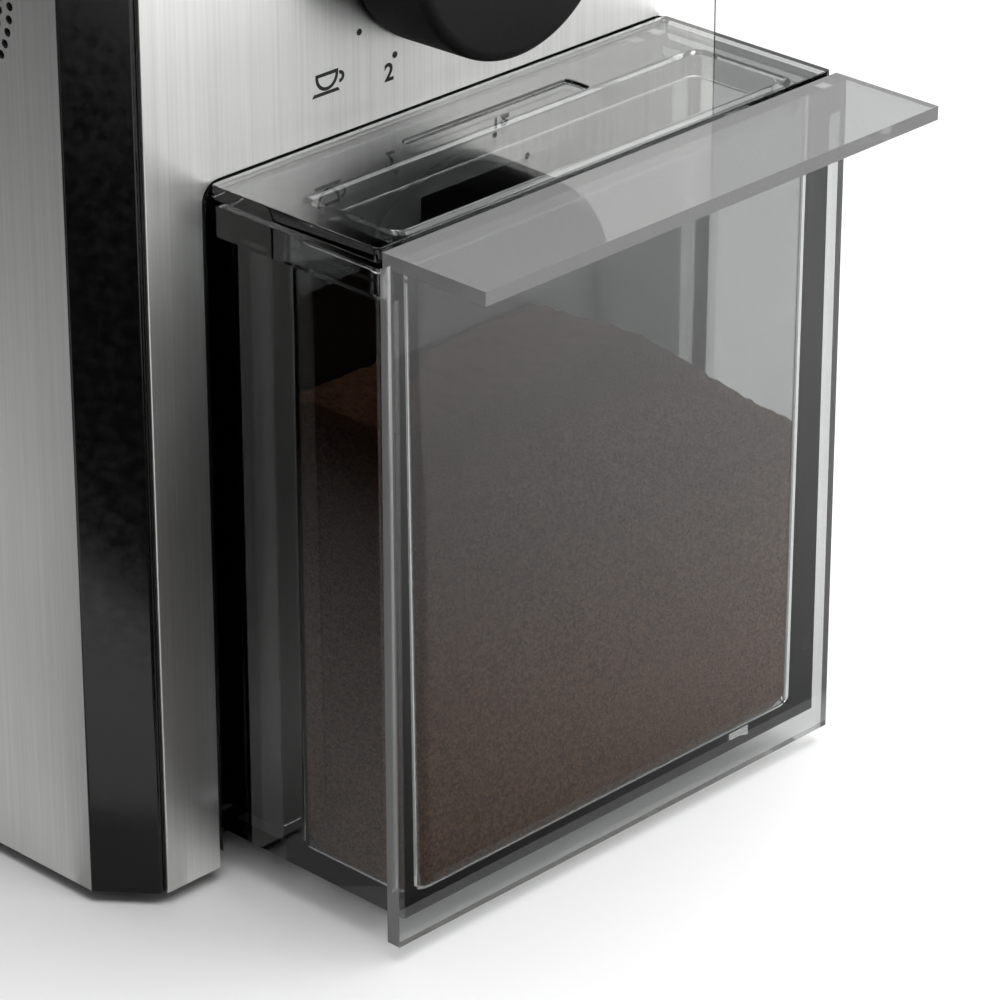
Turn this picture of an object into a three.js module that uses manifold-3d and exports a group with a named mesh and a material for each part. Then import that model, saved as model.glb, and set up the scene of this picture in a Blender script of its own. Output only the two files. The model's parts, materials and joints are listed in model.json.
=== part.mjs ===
// A box-shaped burr coffee grinder in millimetres, +Z up, front towards -Y.
// Inside the group, y = 0 is the outer face of the front panel and z = 0 is the panel's lower edge.
import * as THREE from 'three';
import { mergeVertices } from 'three/addons/utils/BufferGeometryUtils.js';
import Module from 'manifold-3d';

const wasm = await Module();
wasm.setup();

// ---------- driving dimensions ----------
const bodyWidth = 130;
const bodyDepth = 160;
const bodyHeight = 205;
const footDrop = 2;
const fit = 0.3;

const sheet = 1;
const plasticWall = 2.5;
const deckThickness = 3;
const baseThickness = 3;
const baseClearance = 0.6;
const rearCornerRadius = 8;
const rearCoverDepth = 10;

const stripDepth = 8.3;
const stripSlope = 6.2;
const stripFace = 0.7;
const stripLand = 1;

const bayCornerRadius = 3;
const bayClearance = 1.2;
const bayTopGap = 0.1;
const bayLining = 0.6;
const bayRecess = 6;
const bossReach = 8.5;
const bossClearance = 1.2;

const containerHalfWidth = 44.2;
const containerWall = 2.5;
const containerFrontWall = 2;
const containerBottom = 4.2;
const containerFloor = 2;
const containerRearFace = -9;
const containerRearWall = 2;
const containerTail = 5;
const cavityTaper = 0.8;
const cavityCorner = 3;
const rimReach = 2;
const rimHeight = 4.6;
const rimTop = 104.6;
const lidSeam = 0.7;
const lidThickness = 2.2;
const plateFront = 35.8;
const plateThickness = 1.9;
const plateGap = 0.9;
const plateBottom = 0.8;
const lipReach = 53;
const lipThickness = 2.1;
const lipBelowLid = 0.2;
const spoutHalfWidth = 15;
const spoutBelowRim = 3;
const spoutHeight = 13;

const dialRadius = 20.2;
const dialDepth = 15;
const dialAboveBay = 29.3;
const dialGap = 0.8;
const spindleRadius = 3;
const buttonRadius = 7;
const buttonBelowTop = 25;
const buttonTravel = 1.5;
const boardFront = 10.5;
const boardThickness = 1.6;

const burrRadius = 25;
const burrThickness = 6;
const burrGap = 0.6;
const burrBore = 12;
const carrierReach = 3;
const sweepRoom = 3;
const chamberWall = 3;
const chamberHeight = 32;
const throatRadius = 20;
const shaftRadius = 4;
const chuteFront = 14;
const chuteBack = 26;
const chuteWall = 1.6;

const gearModule = 1;
const mainTeeth = 68;
const pinionTeeth = 12;
const gearThickness = 10;
const adjustModule = 1.6;
const ringTeeth = 60;
const knobTeeth = 25;
const ringThickness = 5;
const ringAboveChamber = 12;

const motorRadius = 30;
const motorLength = 82;
const motorShaftRadius = 3;
const chassisPlate = 4;
const chassisWall = 2.5;
const gearRoom = 15;
const coverPlate = 3;

const hopperHalf = 50;
const hopperWall = 2;
const hopperHeight = 46;
const hopperCorner = 14;
const hopperForward = 2;
const hopperLidThickness = 3;
const gripHeight = 4;
const grindKnobRadius = 15;
const grindKnobHeight = 14;

const ventRadius = 17;
const ventHole = 0.65;
const ventCount = 12;
const ventBehindPanel = 35;
const ventHeight = 134.5;

// Sides of the round shapes, by how large they are.
const fine = 36;
const round = 24;
const small = 14;
const tiny = 8;

// ---------- places worked out from them ----------
const halfWidth = bodyWidth / 2;
const deckBottom = bodyHeight - deckThickness;
const baseTop = baseClearance + baseThickness;
const innerHalfWidth = halfWidth - sheet;
const stripInner = halfWidth - stripSlope;
const panelHalfWidth = stripInner - stripLand;
const coverStart = bodyDepth - rearCoverDepth;
const plateRear = plateFront - plateThickness;
const rimHalfWidth = containerHalfWidth + rimReach;
const rimBottom = rimTop - rimHeight;
const lidTop = rimTop + lidSeam + lidThickness;
const lipTop = lidTop - lipBelowLid;
const spoutTop = rimBottom - spoutBelowRim;
const spoutBottom = spoutTop - spoutHeight;
const bayHalfWidth = rimHalfWidth + bayClearance;
const bayHeight = lidTop + bayTopGap;
const bayBack = bayRecess + plasticWall;
const bossHalfWidth = containerHalfWidth - containerWall - bossClearance;
const dialHeight = bayHeight + dialAboveBay;
const buttonHeight = bodyHeight - buttonBelowTop;
const motorTop = rimBottom;
const chassisTop = motorTop + chassisPlate;
const coverBottom = chassisTop + gearRoom;
const chamberBottom = coverBottom + coverPlate;
const chamberFloorTop = chamberBottom + chamberWall;
const gearBottom = chassisTop + 3;
const gearTop = gearBottom + gearThickness;
const chamberTop = chamberBottom + chamberHeight;
const carrierRadius = burrRadius + carrierReach;
const chamberInner = carrierRadius + sweepRoom;
const chamberRadius = chamberInner + chamberWall;
const gearOuterRadius = gearModule * (mainTeeth / 2 + 1);
const burrAxisY = chuteBack + 1 + Math.max(gearOuterRadius, chamberRadius + 1);
const motorAxisY = burrAxisY + gearModule * (mainTeeth + pinionTeeth) / 2;
const knobAxisY = burrAxisY + adjustModule * (ringTeeth + knobTeeth) / 2;
const carrierBottom = chamberFloorTop + 2;
const carrierTop = carrierBottom + burrThickness;
const lowerBurrTop = carrierTop + burrThickness;
const upperBurrBottom = lowerBurrTop + burrGap;
const upperBurrTop = upperBurrBottom + burrThickness;
const ringLevel = chamberTop + ringAboveChamber;
const hopperCentreY = burrAxisY - hopperForward;

// ---------- geometry helpers ----------
function toSolid(geometry) {
  geometry.deleteAttribute('normal');
  geometry.deleteAttribute('uv');
  const merged = mergeVertices(geometry, 1e-4);
  const index = merged.index.array;
  const position = merged.attributes.position;
  const kept = [];
  for (let i = 0; i < index.length; i += 3) {
    const [a, b, c] = [index[i], index[i + 1], index[i + 2]];
    if (a !== b && b !== c && a !== c) kept.push(a, b, c);
  }
  const corner = (n) => new THREE.Vector3().fromBufferAttribute(position, n);
  let volume = 0;
  for (let i = 0; i < kept.length; i += 3) {
    volume += corner(kept[i]).dot(corner(kept[i + 1]).cross(corner(kept[i + 2])));
  }
  if (volume < 0) kept.reverse();
  return new wasm.Manifold(new wasm.Mesh({
    numProp: 3,
    vertProperties: Float32Array.from(position.array),
    triVerts: Uint32Array.from(kept),
  }));
}

function box(x0, x1, y0, y1, z0, z1) {
  const geometry = new THREE.BoxGeometry(x1 - x0, y1 - y0, z1 - z0);
  geometry.translate((x0 + x1) / 2, (y0 + y1) / 2, (z0 + z1) / 2);
  return toSolid(geometry);
}

function outline(points) {
  return new THREE.Shape(points.map(([a, b]) => new THREE.Vector2(a, b)));
}

function roundedOutline(x0, x1, y0, y1, radius) {
  const shape = new THREE.Shape();
  shape.absarc(x1 - radius, y0 + radius, radius, -Math.PI / 2, 0);
  shape.absarc(x1 - radius, y1 - radius, radius, 0, Math.PI / 2);
  shape.absarc(x0 + radius, y1 - radius, radius, Math.PI / 2, Math.PI);
  shape.absarc(x0 + radius, y0 + radius, radius, Math.PI, 1.5 * Math.PI);
  shape.closePath();
  return shape;
}

function circlePath(x, y, radius) {
  const path = new THREE.Path();
  path.absarc(x, y, radius, 0, 2 * Math.PI);
  return path;
}

// Outline in X and Y, pushed up in Z.
function extrudeUp(shape, z0, z1, curveSegments = 6) {
  const geometry = new THREE.ExtrudeGeometry(shape, { depth: z1 - z0, bevelEnabled: false, curveSegments });
  geometry.translate(0, 0, z0);
  return toSolid(geometry);
}

// Outline in X and Z, pushed back in Y.
function extrudeBack(shape, y0, y1, curveSegments = 6) {
  const geometry = new THREE.ExtrudeGeometry(shape, { depth: y1 - y0, bevelEnabled: false, curveSegments });
  geometry.rotateX(Math.PI / 2);
  geometry.translate(0, y1, 0);
  return toSolid(geometry);
}

// Outline in Y and Z, pushed across in X.
function extrudeAcross(shape, x0, x1, curveSegments = 6) {
  const geometry = new THREE.ExtrudeGeometry(shape, { depth: x1 - x0, bevelEnabled: false, curveSegments });
  geometry.rotateZ(Math.PI / 2);
  geometry.rotateY(Math.PI / 2);
  geometry.translate(x0, 0, 0);
  return toSolid(geometry);
}

// Closed profile of [radius, height] turned about a vertical line through (x, y).
function turned(profile, x, y, segments = round) {
  const points = profile.map(([r, z]) => new THREE.Vector2(r, z));
  points.push(points[0].clone());
  const geometry = new THREE.LatheGeometry(points, segments);
  geometry.rotateX(Math.PI / 2);
  geometry.translate(x, y, 0);
  return toSolid(geometry);
}

// The same profile turned about a line along Y, its heights counted along +Y.
function turnedBack(profile, x, z, segments = round) {
  const points = profile.map(([r, y]) => new THREE.Vector2(r, y));
  points.push(points[0].clone());
  const geometry = new THREE.LatheGeometry(points, segments);
  geometry.translate(x, 0, z);
  return toSolid(geometry);
}

function disc(x, y, radius, z0, z1, segments = small) {
  return turned([[0, z0], [radius, z0], [radius, z1], [0, z1]], x, y, segments);
}

function tube(x, y, inner, outer, z0, z1, segments = round) {
  return turned([[inner, z0], [outer, z0], [outer, z1], [inner, z1]], x, y, segments);
}

function rod(x, z, radius, y0, y1, segments = small) {
  return turnedBack([[0, y0], [radius, y0], [radius, y1], [0, y1]], x, z, segments);
}

// Closed skin through rounded rectangles of equal point count, lowest first.
function loft(sections, stepsPerCorner = 5) {
  const rings = sections.map(({ hx, hy, r, x = 0, y, z }) => {
    const ring = [];
    for (let corner = 0; corner < 4; corner += 1) {
      const sx = corner === 0 || corner === 3 ? 1 : -1;
      const sy = corner < 2 ? 1 : -1;
      for (let step = 0; step <= stepsPerCorner; step += 1) {
        const angle = (corner + step / stepsPerCorner) * Math.PI / 2;
        ring.push([
          x + sx * (hx - r) + r * Math.cos(angle),
          y + sy * (hy - r) + r * Math.sin(angle),
          z,
        ]);
      }
    }
    return ring;
  });
  const count = rings[0].length;
  const triangles = [];
  for (let level = 0; level + 1 < rings.length; level += 1) {
    for (let i = 0; i < count; i += 1) {
      const next = (i + 1) % count;
      const [a, b, c, d] = [rings[level][i], rings[level][next], rings[level + 1][next], rings[level + 1][i]];
      triangles.push(a, b, c, a, c, d);
    }
  }
  const first = sections[0];
  const last = sections[sections.length - 1];
  const bottom = [first.x ?? 0, first.y, first.z];
  const top = [last.x ?? 0, last.y, last.z];
  for (let i = 0; i < count; i += 1) {
    const next = (i + 1) % count;
    triangles.push(bottom, rings[0][next], rings[0][i]);
    triangles.push(top, rings[rings.length - 1][i], rings[rings.length - 1][next]);
  }
  const geometry = new THREE.BufferGeometry();
  geometry.setAttribute('position', new THREE.Float32BufferAttribute(triangles.flat(), 3));
  return toSolid(geometry);
}

// Involute gear outline with its pitch circle at module * teeth / 2 and one tooth centred on `phase`.
function gearOutline(module, teeth, phase, x, y) {
  const pressure = THREE.MathUtils.degToRad(20);
  const backlash = 0.14 * module;
  const pitch = module * teeth / 2;
  const base = pitch * Math.cos(pressure);
  const root = pitch - 1.15 * module;
  const tip = pitch + 0.85 * module;
  const involute = (r) => Math.tan(Math.acos(base / r)) - Math.acos(base / r);
  const halfTooth = (Math.PI * module / 2 - backlash) / (2 * pitch) + involute(pitch);
  const foot = Math.max(base, root);
  const radii = [foot, tip];
  const points = [];
  for (let tooth = 0; tooth < teeth; tooth += 1) {
    const centre = phase + 2 * Math.PI * tooth / teeth;
    const flank = radii.map((r) => [r, halfTooth - involute(r)]);
    if (foot > root) flank.unshift([root, halfTooth]);
    const rising = flank.map(([r, a]) => [r, centre - a]);
    const falling = flank.map(([r, a]) => [r, centre + a]).reverse();
    for (const [r, a] of [...rising, ...falling]) {
      points.push([x + r * Math.cos(a), y + r * Math.sin(a)]);
    }
  }
  return outline(points);
}

// ---------- materials ----------
function material(color, roughness, metalness, opacity = 1) {
  return new THREE.MeshStandardMaterial({ color, roughness, metalness, opacity, transparent: opacity < 1 });
}

const brushedSteel = material(0xc4c4c2, 0.35, 1);
const blackPlastic = material(0x161616, 0.45, 0);
const greyPlastic = material(0x3a3a3c, 0.6, 0);
const rubber = material(0x101010, 0.9, 0);
const clearPlastic = material(0xb4b6b8, 0.05, 0, 0.35);
const smokedPlastic = material(0x5a5652, 0.08, 0, 0.5);
const zincSteel = material(0x9a9c9e, 0.4, 1);
const burrSteel = material(0x8c8e90, 0.3, 1);
const brass = material(0xb59a52, 0.35, 1);
const nylon = material(0xe6e2d4, 0.6, 0);
const boardGreen = material(0x20523a, 0.6, 0);

const grinder = new THREE.Group();
const assembly = new THREE.Group();
assembly.position.set(0, (lipReach - bodyDepth) / 2, footDrop);
grinder.add(assembly);

function addPart(name, solid, look) {
  const { vertProperties, triVerts } = solid.getMesh();
  const geometry = new THREE.BufferGeometry();
  geometry.setAttribute('position', new THREE.BufferAttribute(vertProperties, 3));
  geometry.setIndex(new THREE.BufferAttribute(triVerts, 1));
  geometry.computeVertexNormals();
  const mesh = new THREE.Mesh(geometry, look);
  mesh.name = name;
  assembly.add(mesh);
}

const sides = [['left', -1], ['right', 1]];

// Same box on the left or the right of the centre line.
function sidedBox(side, x0, x1, y0, y1, z0, z1) {
  const [low, high] = side < 0 ? [-x1, -x0] : [x0, x1];
  return box(low, high, y0, y1, z0, z1);
}

// ---------- casing ----------
const postBack = 16;
const postReturn = 3;
const postFlange = panelHalfWidth - 3.8;
const chassisHalf = innerHalfWidth - 4;
const screwX = chassisHalf - 8;
const screwYs = { front: 44, rear: 120 };
const screwRadius = 1.5;
const screwHead = 3;
const screwSink = 1.6;
const footInset = 14;
const footRadius = 7;
const dialBushRadius = spindleRadius + 1.5;
const footX = halfWidth - footInset - 4;
const footYs = { front: postBack + footInset, rear: coverStart - footInset };
const coverLap = 5;

function makeBase() {
  const edge = innerHalfWidth - fit;
  const tongue = postFlange - fit;
  const notch = edge - plasticWall - fit;
  const notchFront = coverStart - coverLap - 1;
  const half = [
    [tongue, bayBack + fit], [tongue, postBack + fit], [edge, postBack + fit], [edge, notchFront],
    [notch, notchFront], [notch, bodyDepth - rearCornerRadius - plasticWall],
    [edge - rearCornerRadius - fit, bodyDepth - plasticWall - fit],
  ];
  const mirrored = half.map(([x, y]) => [-x, y]).reverse();
  const shape = outline([...half, ...mirrored]);
  let base = extrudeUp(shape, baseClearance, baseTop);
  for (const [, side] of sides) {
    for (const y of Object.values(screwYs)) {
      base = base.subtract(disc(side * screwX, y, screwRadius + fit, 0, baseTop + 1, tiny));
    }
    for (const y of Object.values(footYs)) {
      base = base.subtract(disc(side * footX, y, footRadius / 2 + fit, 0, baseTop + 1, tiny));
    }
  }
  addPart('base_plate', base, blackPlastic);
}

// A round rubber foot under the base with a stem pushed through its hole.
function makeFeet() {
  for (const [row, y] of Object.entries(footYs)) {
    for (const [hand, side] of sides) {
      const foot = turned([
        [0, -footDrop], [footRadius - 1, -footDrop], [footRadius, -footDrop + 1], [footRadius, baseClearance],
        [footRadius / 2, baseClearance], [footRadius / 2, baseTop - fit], [0, baseTop - fit],
      ], side * footX, y, small);
      addPart(`foot_${row}_${hand}`, foot, rubber);
    }
  }
}

// Flat steel side with a ring of round air holes.
function makeSidePanels() {
  for (const [hand, side] of sides) {
    const shape = outline([
      [stripDepth + fit, 0], [coverStart, 0], [coverStart, deckBottom], [stripDepth + fit, deckBottom],
    ]);
    for (let i = 0; i < ventCount; i += 1) {
      const angle = 2 * Math.PI * i / ventCount;
      const y = ventBehindPanel + ventRadius * Math.cos(angle);
      const z = ventHeight + ventRadius * Math.sin(angle);
      shape.holes.push(circlePath(y, z, ventHole));
    }
    const [x0, x1] = side < 0 ? [-halfWidth, -innerHalfWidth] : [innerHalfWidth, halfWidth];
    addPart(`side_panel_${hand}`, extrudeAcross(shape, x0, x1, 3), brushedSteel);
  }
}

function makeFrontPanel() {
  let panel = box(-panelHalfWidth, panelHalfWidth, 0, sheet, 0, deckBottom);
  const bay = roundedOutline(-bayHalfWidth, bayHalfWidth, -bayHeight / 2, bayHeight, bayCornerRadius);
  panel = panel.subtract(extrudeBack(bay, -1, sheet + 1, 5));
  panel = panel.subtract(rod(0, dialHeight, dialBushRadius + fit, -1, sheet + 1));
  panel = panel.subtract(rod(0, buttonHeight, buttonRadius + fit, -1, sheet + 1, small));
  addPart('front_panel', panel, brushedSteel);
}

// Black plastic corner post: a slanted face between the front and the side steel.
function makeCornerPosts() {
  const neck = innerHalfWidth - plasticWall;
  for (const [hand, side] of sides) {
    const half = [
      [postFlange, sheet], [panelHalfWidth + fit, sheet], [panelHalfWidth + fit, stripFace],
      [stripInner, stripFace], [halfWidth, stripDepth], [halfWidth, stripDepth + fit],
      [innerHalfWidth, stripDepth + fit], [innerHalfWidth, postBack], [neck, postBack],
      [neck, stripDepth + 1], [panelHalfWidth - 1, sheet + postReturn], [postFlange, sheet + postReturn],
    ];
    const shape = outline(half.map(([x, y]) => [side * x, y]));
    addPart(`corner_post_${hand}`, extrudeUp(shape, 0, deckBottom), blackPlastic);
  }
}

// Black lining of the container bay, with a hollow boss that fills the back of the container.
function makeBayHousing() {
  const flangeReach = 4.5;
  const flangeThickness = 1.6;
  const bossCorner = 4;
  const bossBottom = containerBottom + containerFloor + 0.8;
  const bossTop = rimBottom - 0.5;
  const across = bayHalfWidth - fit;
  const top = bayHeight - fit;
  const outer = roundedOutline(-across, across, 1, top, bayCornerRadius);
  const flange = roundedOutline(
    -bayHalfWidth - flangeReach, bayHalfWidth + flangeReach, baseTop + fit, bayHeight + 4, 2,
  );
  const inner = roundedOutline(
    -across + bayLining, across - bayLining, -bayHeight / 2, top - bayLining, bayCornerRadius - bayLining,
  );
  const boss = roundedOutline(-bossHalfWidth, bossHalfWidth, -bossReach, bayBack, bossCorner);
  let housing = extrudeBack(outer, fit, bayBack, 4);
  housing = housing.add(extrudeBack(flange, sheet, sheet + flangeThickness, 4));
  housing = housing.subtract(extrudeBack(inner, -1, bayRecess, 4));
  housing = housing.add(extrudeUp(boss, bossBottom, bossTop, 5));
  housing = housing.subtract(box(
    -bossHalfWidth + plasticWall, bossHalfWidth - plasticWall, -bossReach + plasticWall, bayBack + 1,
    bossBottom + plasticWall, spoutTop,
  ));
  housing = housing.subtract(box(
    -spoutHalfWidth, spoutHalfWidth, -bossReach - 1, plasticWall, spoutBottom, spoutTop,
  ));
  addPart('bay_housing', housing, blackPlastic);
}

const coverScrewX = 45;
const coverScrewZ = bodyHeight - 12;
const coverBossRadius = 6;
const coverBossFront = bodyDepth - 7;
const coverScrewLength = 8;
const coverScrewSeat = bodyDepth - 3;
const glandRadius = 6;
const glandX = 30;
const glandZ = 16;
const glandFlange = 2.5;
const cordRadius = 2.5;
const boardBack = bodyDepth - 8.4;
const boardBottom = 34;
const boardTop = 146;
const boardPostX = 30;
const slotHalfWidth = 24;
const slotHeight = 2.5;
const slotPitch = 8;
const slotCount = 6;
const slotStart = 60;

function makeRearCover() {
  const outer = new THREE.Shape();
  const r = rearCornerRadius;
  const inner = r - plasticWall;
  const side = innerHalfWidth - fit;
  const lap = coverStart - coverLap;
  outer.moveTo(halfWidth, coverStart);
  outer.absarc(halfWidth - r, bodyDepth - r, r, 0, Math.PI / 2);
  outer.absarc(-halfWidth + r, bodyDepth - r, r, Math.PI / 2, Math.PI);
  outer.lineTo(-halfWidth, coverStart);
  outer.lineTo(-side, coverStart);
  outer.lineTo(-side, lap);
  outer.lineTo(-side + plasticWall - fit, lap);
  outer.absarc(-halfWidth + r, bodyDepth - r, inner, Math.PI, Math.PI / 2, true);
  outer.absarc(halfWidth - r, bodyDepth - r, inner, Math.PI / 2, 0, true);
  outer.lineTo(side - plasticWall + fit, lap);
  outer.lineTo(side, lap);
  outer.lineTo(side, coverStart);
  let cover = extrudeUp(outer, 0, deckBottom, 5);
  for (const sign of [-1, 1]) {
    const x = sign * coverScrewX;
    cover = cover.add(rod(x, coverScrewZ, coverBossRadius, coverBossFront, bodyDepth - 1, small));
    cover = cover.subtract(rod(x, coverScrewZ, screwHead + fit, coverScrewSeat, bodyDepth + 1, tiny));
    cover = cover.subtract(rod(x, coverScrewZ, screwRadius + fit, coverStart, bodyDepth + 1, tiny));
    for (const z of [boardBottom + 6, boardTop - 6]) {
      cover = cover.add(rod(sign * boardPostX, z, 3, boardBack, bodyDepth - 1, tiny));
    }
  }
  for (let row = 0; row < slotCount; row += 1) {
    const z = slotStart + row * slotPitch;
    cover = cover.subtract(box(
      -slotHalfWidth, slotHalfWidth, bodyDepth - plasticWall - 1, bodyDepth + 1, z, z + slotHeight,
    ));
  }
  cover = cover.subtract(rod(glandX, glandZ, glandRadius + fit, coverStart, bodyDepth + 1, small));
  addPart('rear_cover', cover, blackPlastic);
}

const knobShaftRadius = 3;
const seatRadius = hopperHalf - 5;
const seatRing = 3;

// Top deck: the round hopper seat, a sleeve for the grind knob and two screw bosses.
function makeTopDeck() {
  const shape = new THREE.Shape();
  const r = rearCornerRadius;
  const front = 0.2;
  const bossHalf = 5;
  shape.moveTo(-stripInner, front);
  shape.lineTo(stripInner, front);
  shape.lineTo(halfWidth, stripDepth);
  shape.absarc(halfWidth - r, bodyDepth - r, r, 0, Math.PI / 2);
  shape.absarc(-halfWidth + r, bodyDepth - r, r, Math.PI / 2, Math.PI);
  shape.lineTo(-halfWidth, stripDepth);
  let deck = extrudeUp(shape, deckBottom, bodyHeight, 5);
  deck = deck.add(disc(0, hopperCentreY, seatRadius + seatRing, deckBottom - 5, deckBottom + 1, fine));
  deck = deck.subtract(disc(0, hopperCentreY, seatRadius, ringLevel, bodyHeight + 1, fine));
  deck = deck.add(disc(0, knobAxisY, knobShaftRadius + 3, ringLevel + 12, deckBottom + 1, small));
  deck = deck.subtract(disc(0, knobAxisY, knobShaftRadius + fit, ringLevel, bodyHeight + 1, small));
  for (const sign of [-1, 1]) {
    const x = sign * coverScrewX;
    deck = deck.add(box(
      x - bossHalf, x + bossHalf, coverBossFront - coverScrewLength - 2, coverBossFront,
      coverScrewZ - bossHalf, deckBottom + 1,
    ));
    deck = deck.subtract(rod(
      x, coverScrewZ, screwRadius + fit, coverBossFront - coverScrewLength - 1, bodyDepth, tiny,
    ));
  }
  addPart('top_deck', deck, blackPlastic);
}

function makeCoverScrews() {
  for (const [hand, side] of sides) {
    const tip = coverBossFront - coverScrewLength;
    const headTop = bodyDepth - 2 * fit;
    const screw = turnedBack([
      [0, tip], [screwRadius, tip], [screwRadius, coverScrewSeat],
      [screwHead, coverScrewSeat], [screwHead, headTop], [0, headTop],
    ], side * coverScrewX, coverScrewZ, tiny);
    addPart(`cover_screw_${hand}`, screw, zincSteel);
  }
}

function makeCordGland() {
  const inside = bodyDepth - plasticWall;
  const gland = turnedBack([
    [cordRadius, inside - 3], [glandRadius + glandFlange, inside - 3], [glandRadius + glandFlange, inside],
    [glandRadius, inside], [glandRadius, bodyDepth], [cordRadius, bodyDepth],
  ], glandX, glandZ, small);
  addPart('cord_gland', gland, rubber);
}

// ---------- chassis and drive ----------
const chassisFront = burrAxisY - chamberRadius;
const chassisRear = motorAxisY + motorRadius + 8;
const motorScrewOffset = 20;
const motorScrewRadius = 2;
const motorNoseRadius = 8;
const bushOuter = 7;
const runningGap = 0.15;
const screwTab = 11;

function makeChassis() {
  let chassis = box(-chassisHalf, chassisHalf, chassisFront, chassisRear, motorTop, chassisTop);
  for (const [, side] of sides) {
    chassis = chassis.add(sidedBox(
      side, chassisHalf - chassisWall, chassisHalf, chassisFront, chassisRear, baseTop, motorTop + 1,
    ));
    for (const y of Object.values(screwYs)) {
      chassis = chassis.add(
        sidedBox(side, screwX - 5, chassisHalf - 1, y - 5, y + 5, baseTop, baseTop + screwTab),
      );
      chassis = chassis.subtract(disc(side * screwX, y, screwRadius + fit, 0, baseTop + screwTab - 2, tiny));
    }
    chassis = chassis.subtract(disc(
      side * motorScrewOffset, motorAxisY, motorScrewRadius + fit, motorTop - 1, chassisTop + 1, 12,
    ));
  }
  chassis = chassis.subtract(disc(0, motorAxisY, motorNoseRadius + fit, motorTop - 1, chassisTop + 1, small));
  chassis = chassis.subtract(disc(0, burrAxisY, bushOuter + fit, motorTop - 1, chassisTop + 1, small));
  addPart('chassis', chassis, greyPlastic);
}

function makeBaseScrews() {
  for (const [row, y] of Object.entries(screwYs)) {
    for (const [hand, side] of sides) {
      const screw = turned([
        [0, baseClearance - screwSink], [screwHead, baseClearance - screwSink], [screwHead, baseClearance],
        [screwRadius, baseClearance], [screwRadius, baseTop + screwTab - 3], [0, baseTop + screwTab - 3],
      ], side * screwX, y, tiny);
      addPart(`base_screw_${row}_${hand}`, screw, zincSteel);
    }
  }
}

const endBellHeight = 6;
const motorWall = 2;
const armatureGap = 4;
const motorBottom = motorTop - motorLength;

function makeMotor() {
  let can = disc(0, motorAxisY, motorRadius, motorBottom, motorTop, round);
  can = can.add(disc(0, motorAxisY, motorNoseRadius, motorTop - 1, motorTop + 3, small));
  can = can.subtract(disc(0, motorAxisY, motorShaftRadius + fit, 0, motorTop + 5, small));
  can = can.subtract(disc(0, motorAxisY, motorRadius - motorWall, motorBottom - 1, motorTop - 3, round));
  for (const [, side] of sides) {
    can = can.subtract(disc(
      side * motorScrewOffset, motorAxisY, motorScrewRadius + fit, motorTop - 4, motorTop + 1, 12,
    ));
  }
  addPart('motor_can', can, zincSteel);

  const coreRadius = motorRadius - motorWall - armatureGap;
  const core = disc(0, motorAxisY, coreRadius, motorBottom + 10, motorTop - 12, round);
  const bore = disc(0, motorAxisY, motorShaftRadius, 0, motorTop);
  addPart('motor_armature', core.subtract(bore), greyPlastic);

  const bell = turned([
    [motorShaftRadius + fit, motorBottom - endBellHeight], [motorRadius - 4, motorBottom - endBellHeight],
    [motorRadius, motorBottom], [motorShaftRadius + fit, motorBottom],
  ], 0, motorAxisY, round);
  addPart('motor_end_bell', bell, blackPlastic);

  const shaft = disc(0, motorAxisY, motorShaftRadius, baseTop + 1, gearTop + 0.5, small);
  addPart('motor_shaft', shaft, zincSteel);

  for (const [hand, side] of sides) {
    const screw = turned([
      [0, motorTop - 3.5], [motorScrewRadius, motorTop - 3.5], [motorScrewRadius, chassisTop],
      [motorScrewRadius + 1.5, chassisTop], [motorScrewRadius + 1.5, chassisTop + 2], [0, chassisTop + 2],
    ], side * motorScrewOffset, motorAxisY, tiny);
    addPart(`motor_screw_${hand}`, screw, zincSteel);
  }
}

// Six flat blades on a hub, pressed on the lower end of the motor shaft.
function makeFan() {
  const fanBottom = baseTop + 1.5;
  const fanTop = motorBottom - endBellHeight - 0.8;
  const hubRadius = 8;
  const bladeLength = 17;
  const bladeThickness = 1.4;
  const bladeTilt = 0.5;
  const bladeCount = 6;
  let fan = tube(0, motorAxisY, motorShaftRadius, hubRadius, fanBottom, fanTop, small);
  for (let blade = 0; blade < bladeCount; blade += 1) {
    const geometry = new THREE.BoxGeometry(bladeLength, bladeThickness, fanTop - fanBottom);
    geometry.rotateX(bladeTilt);
    geometry.scale(1, 1, 0.75);
    geometry.translate(hubRadius - 1 + bladeLength / 2, 0, (fanBottom + fanTop) / 2);
    geometry.rotateZ(2 * Math.PI * blade / bladeCount);
    geometry.translate(0, motorAxisY, 0);
    fan = fan.add(toSolid(geometry));
  }
  fan = fan.subtract(disc(0, motorAxisY, motorShaftRadius, 0, motorTop, small));
  addPart('motor_fan', fan, blackPlastic);
}

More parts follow.
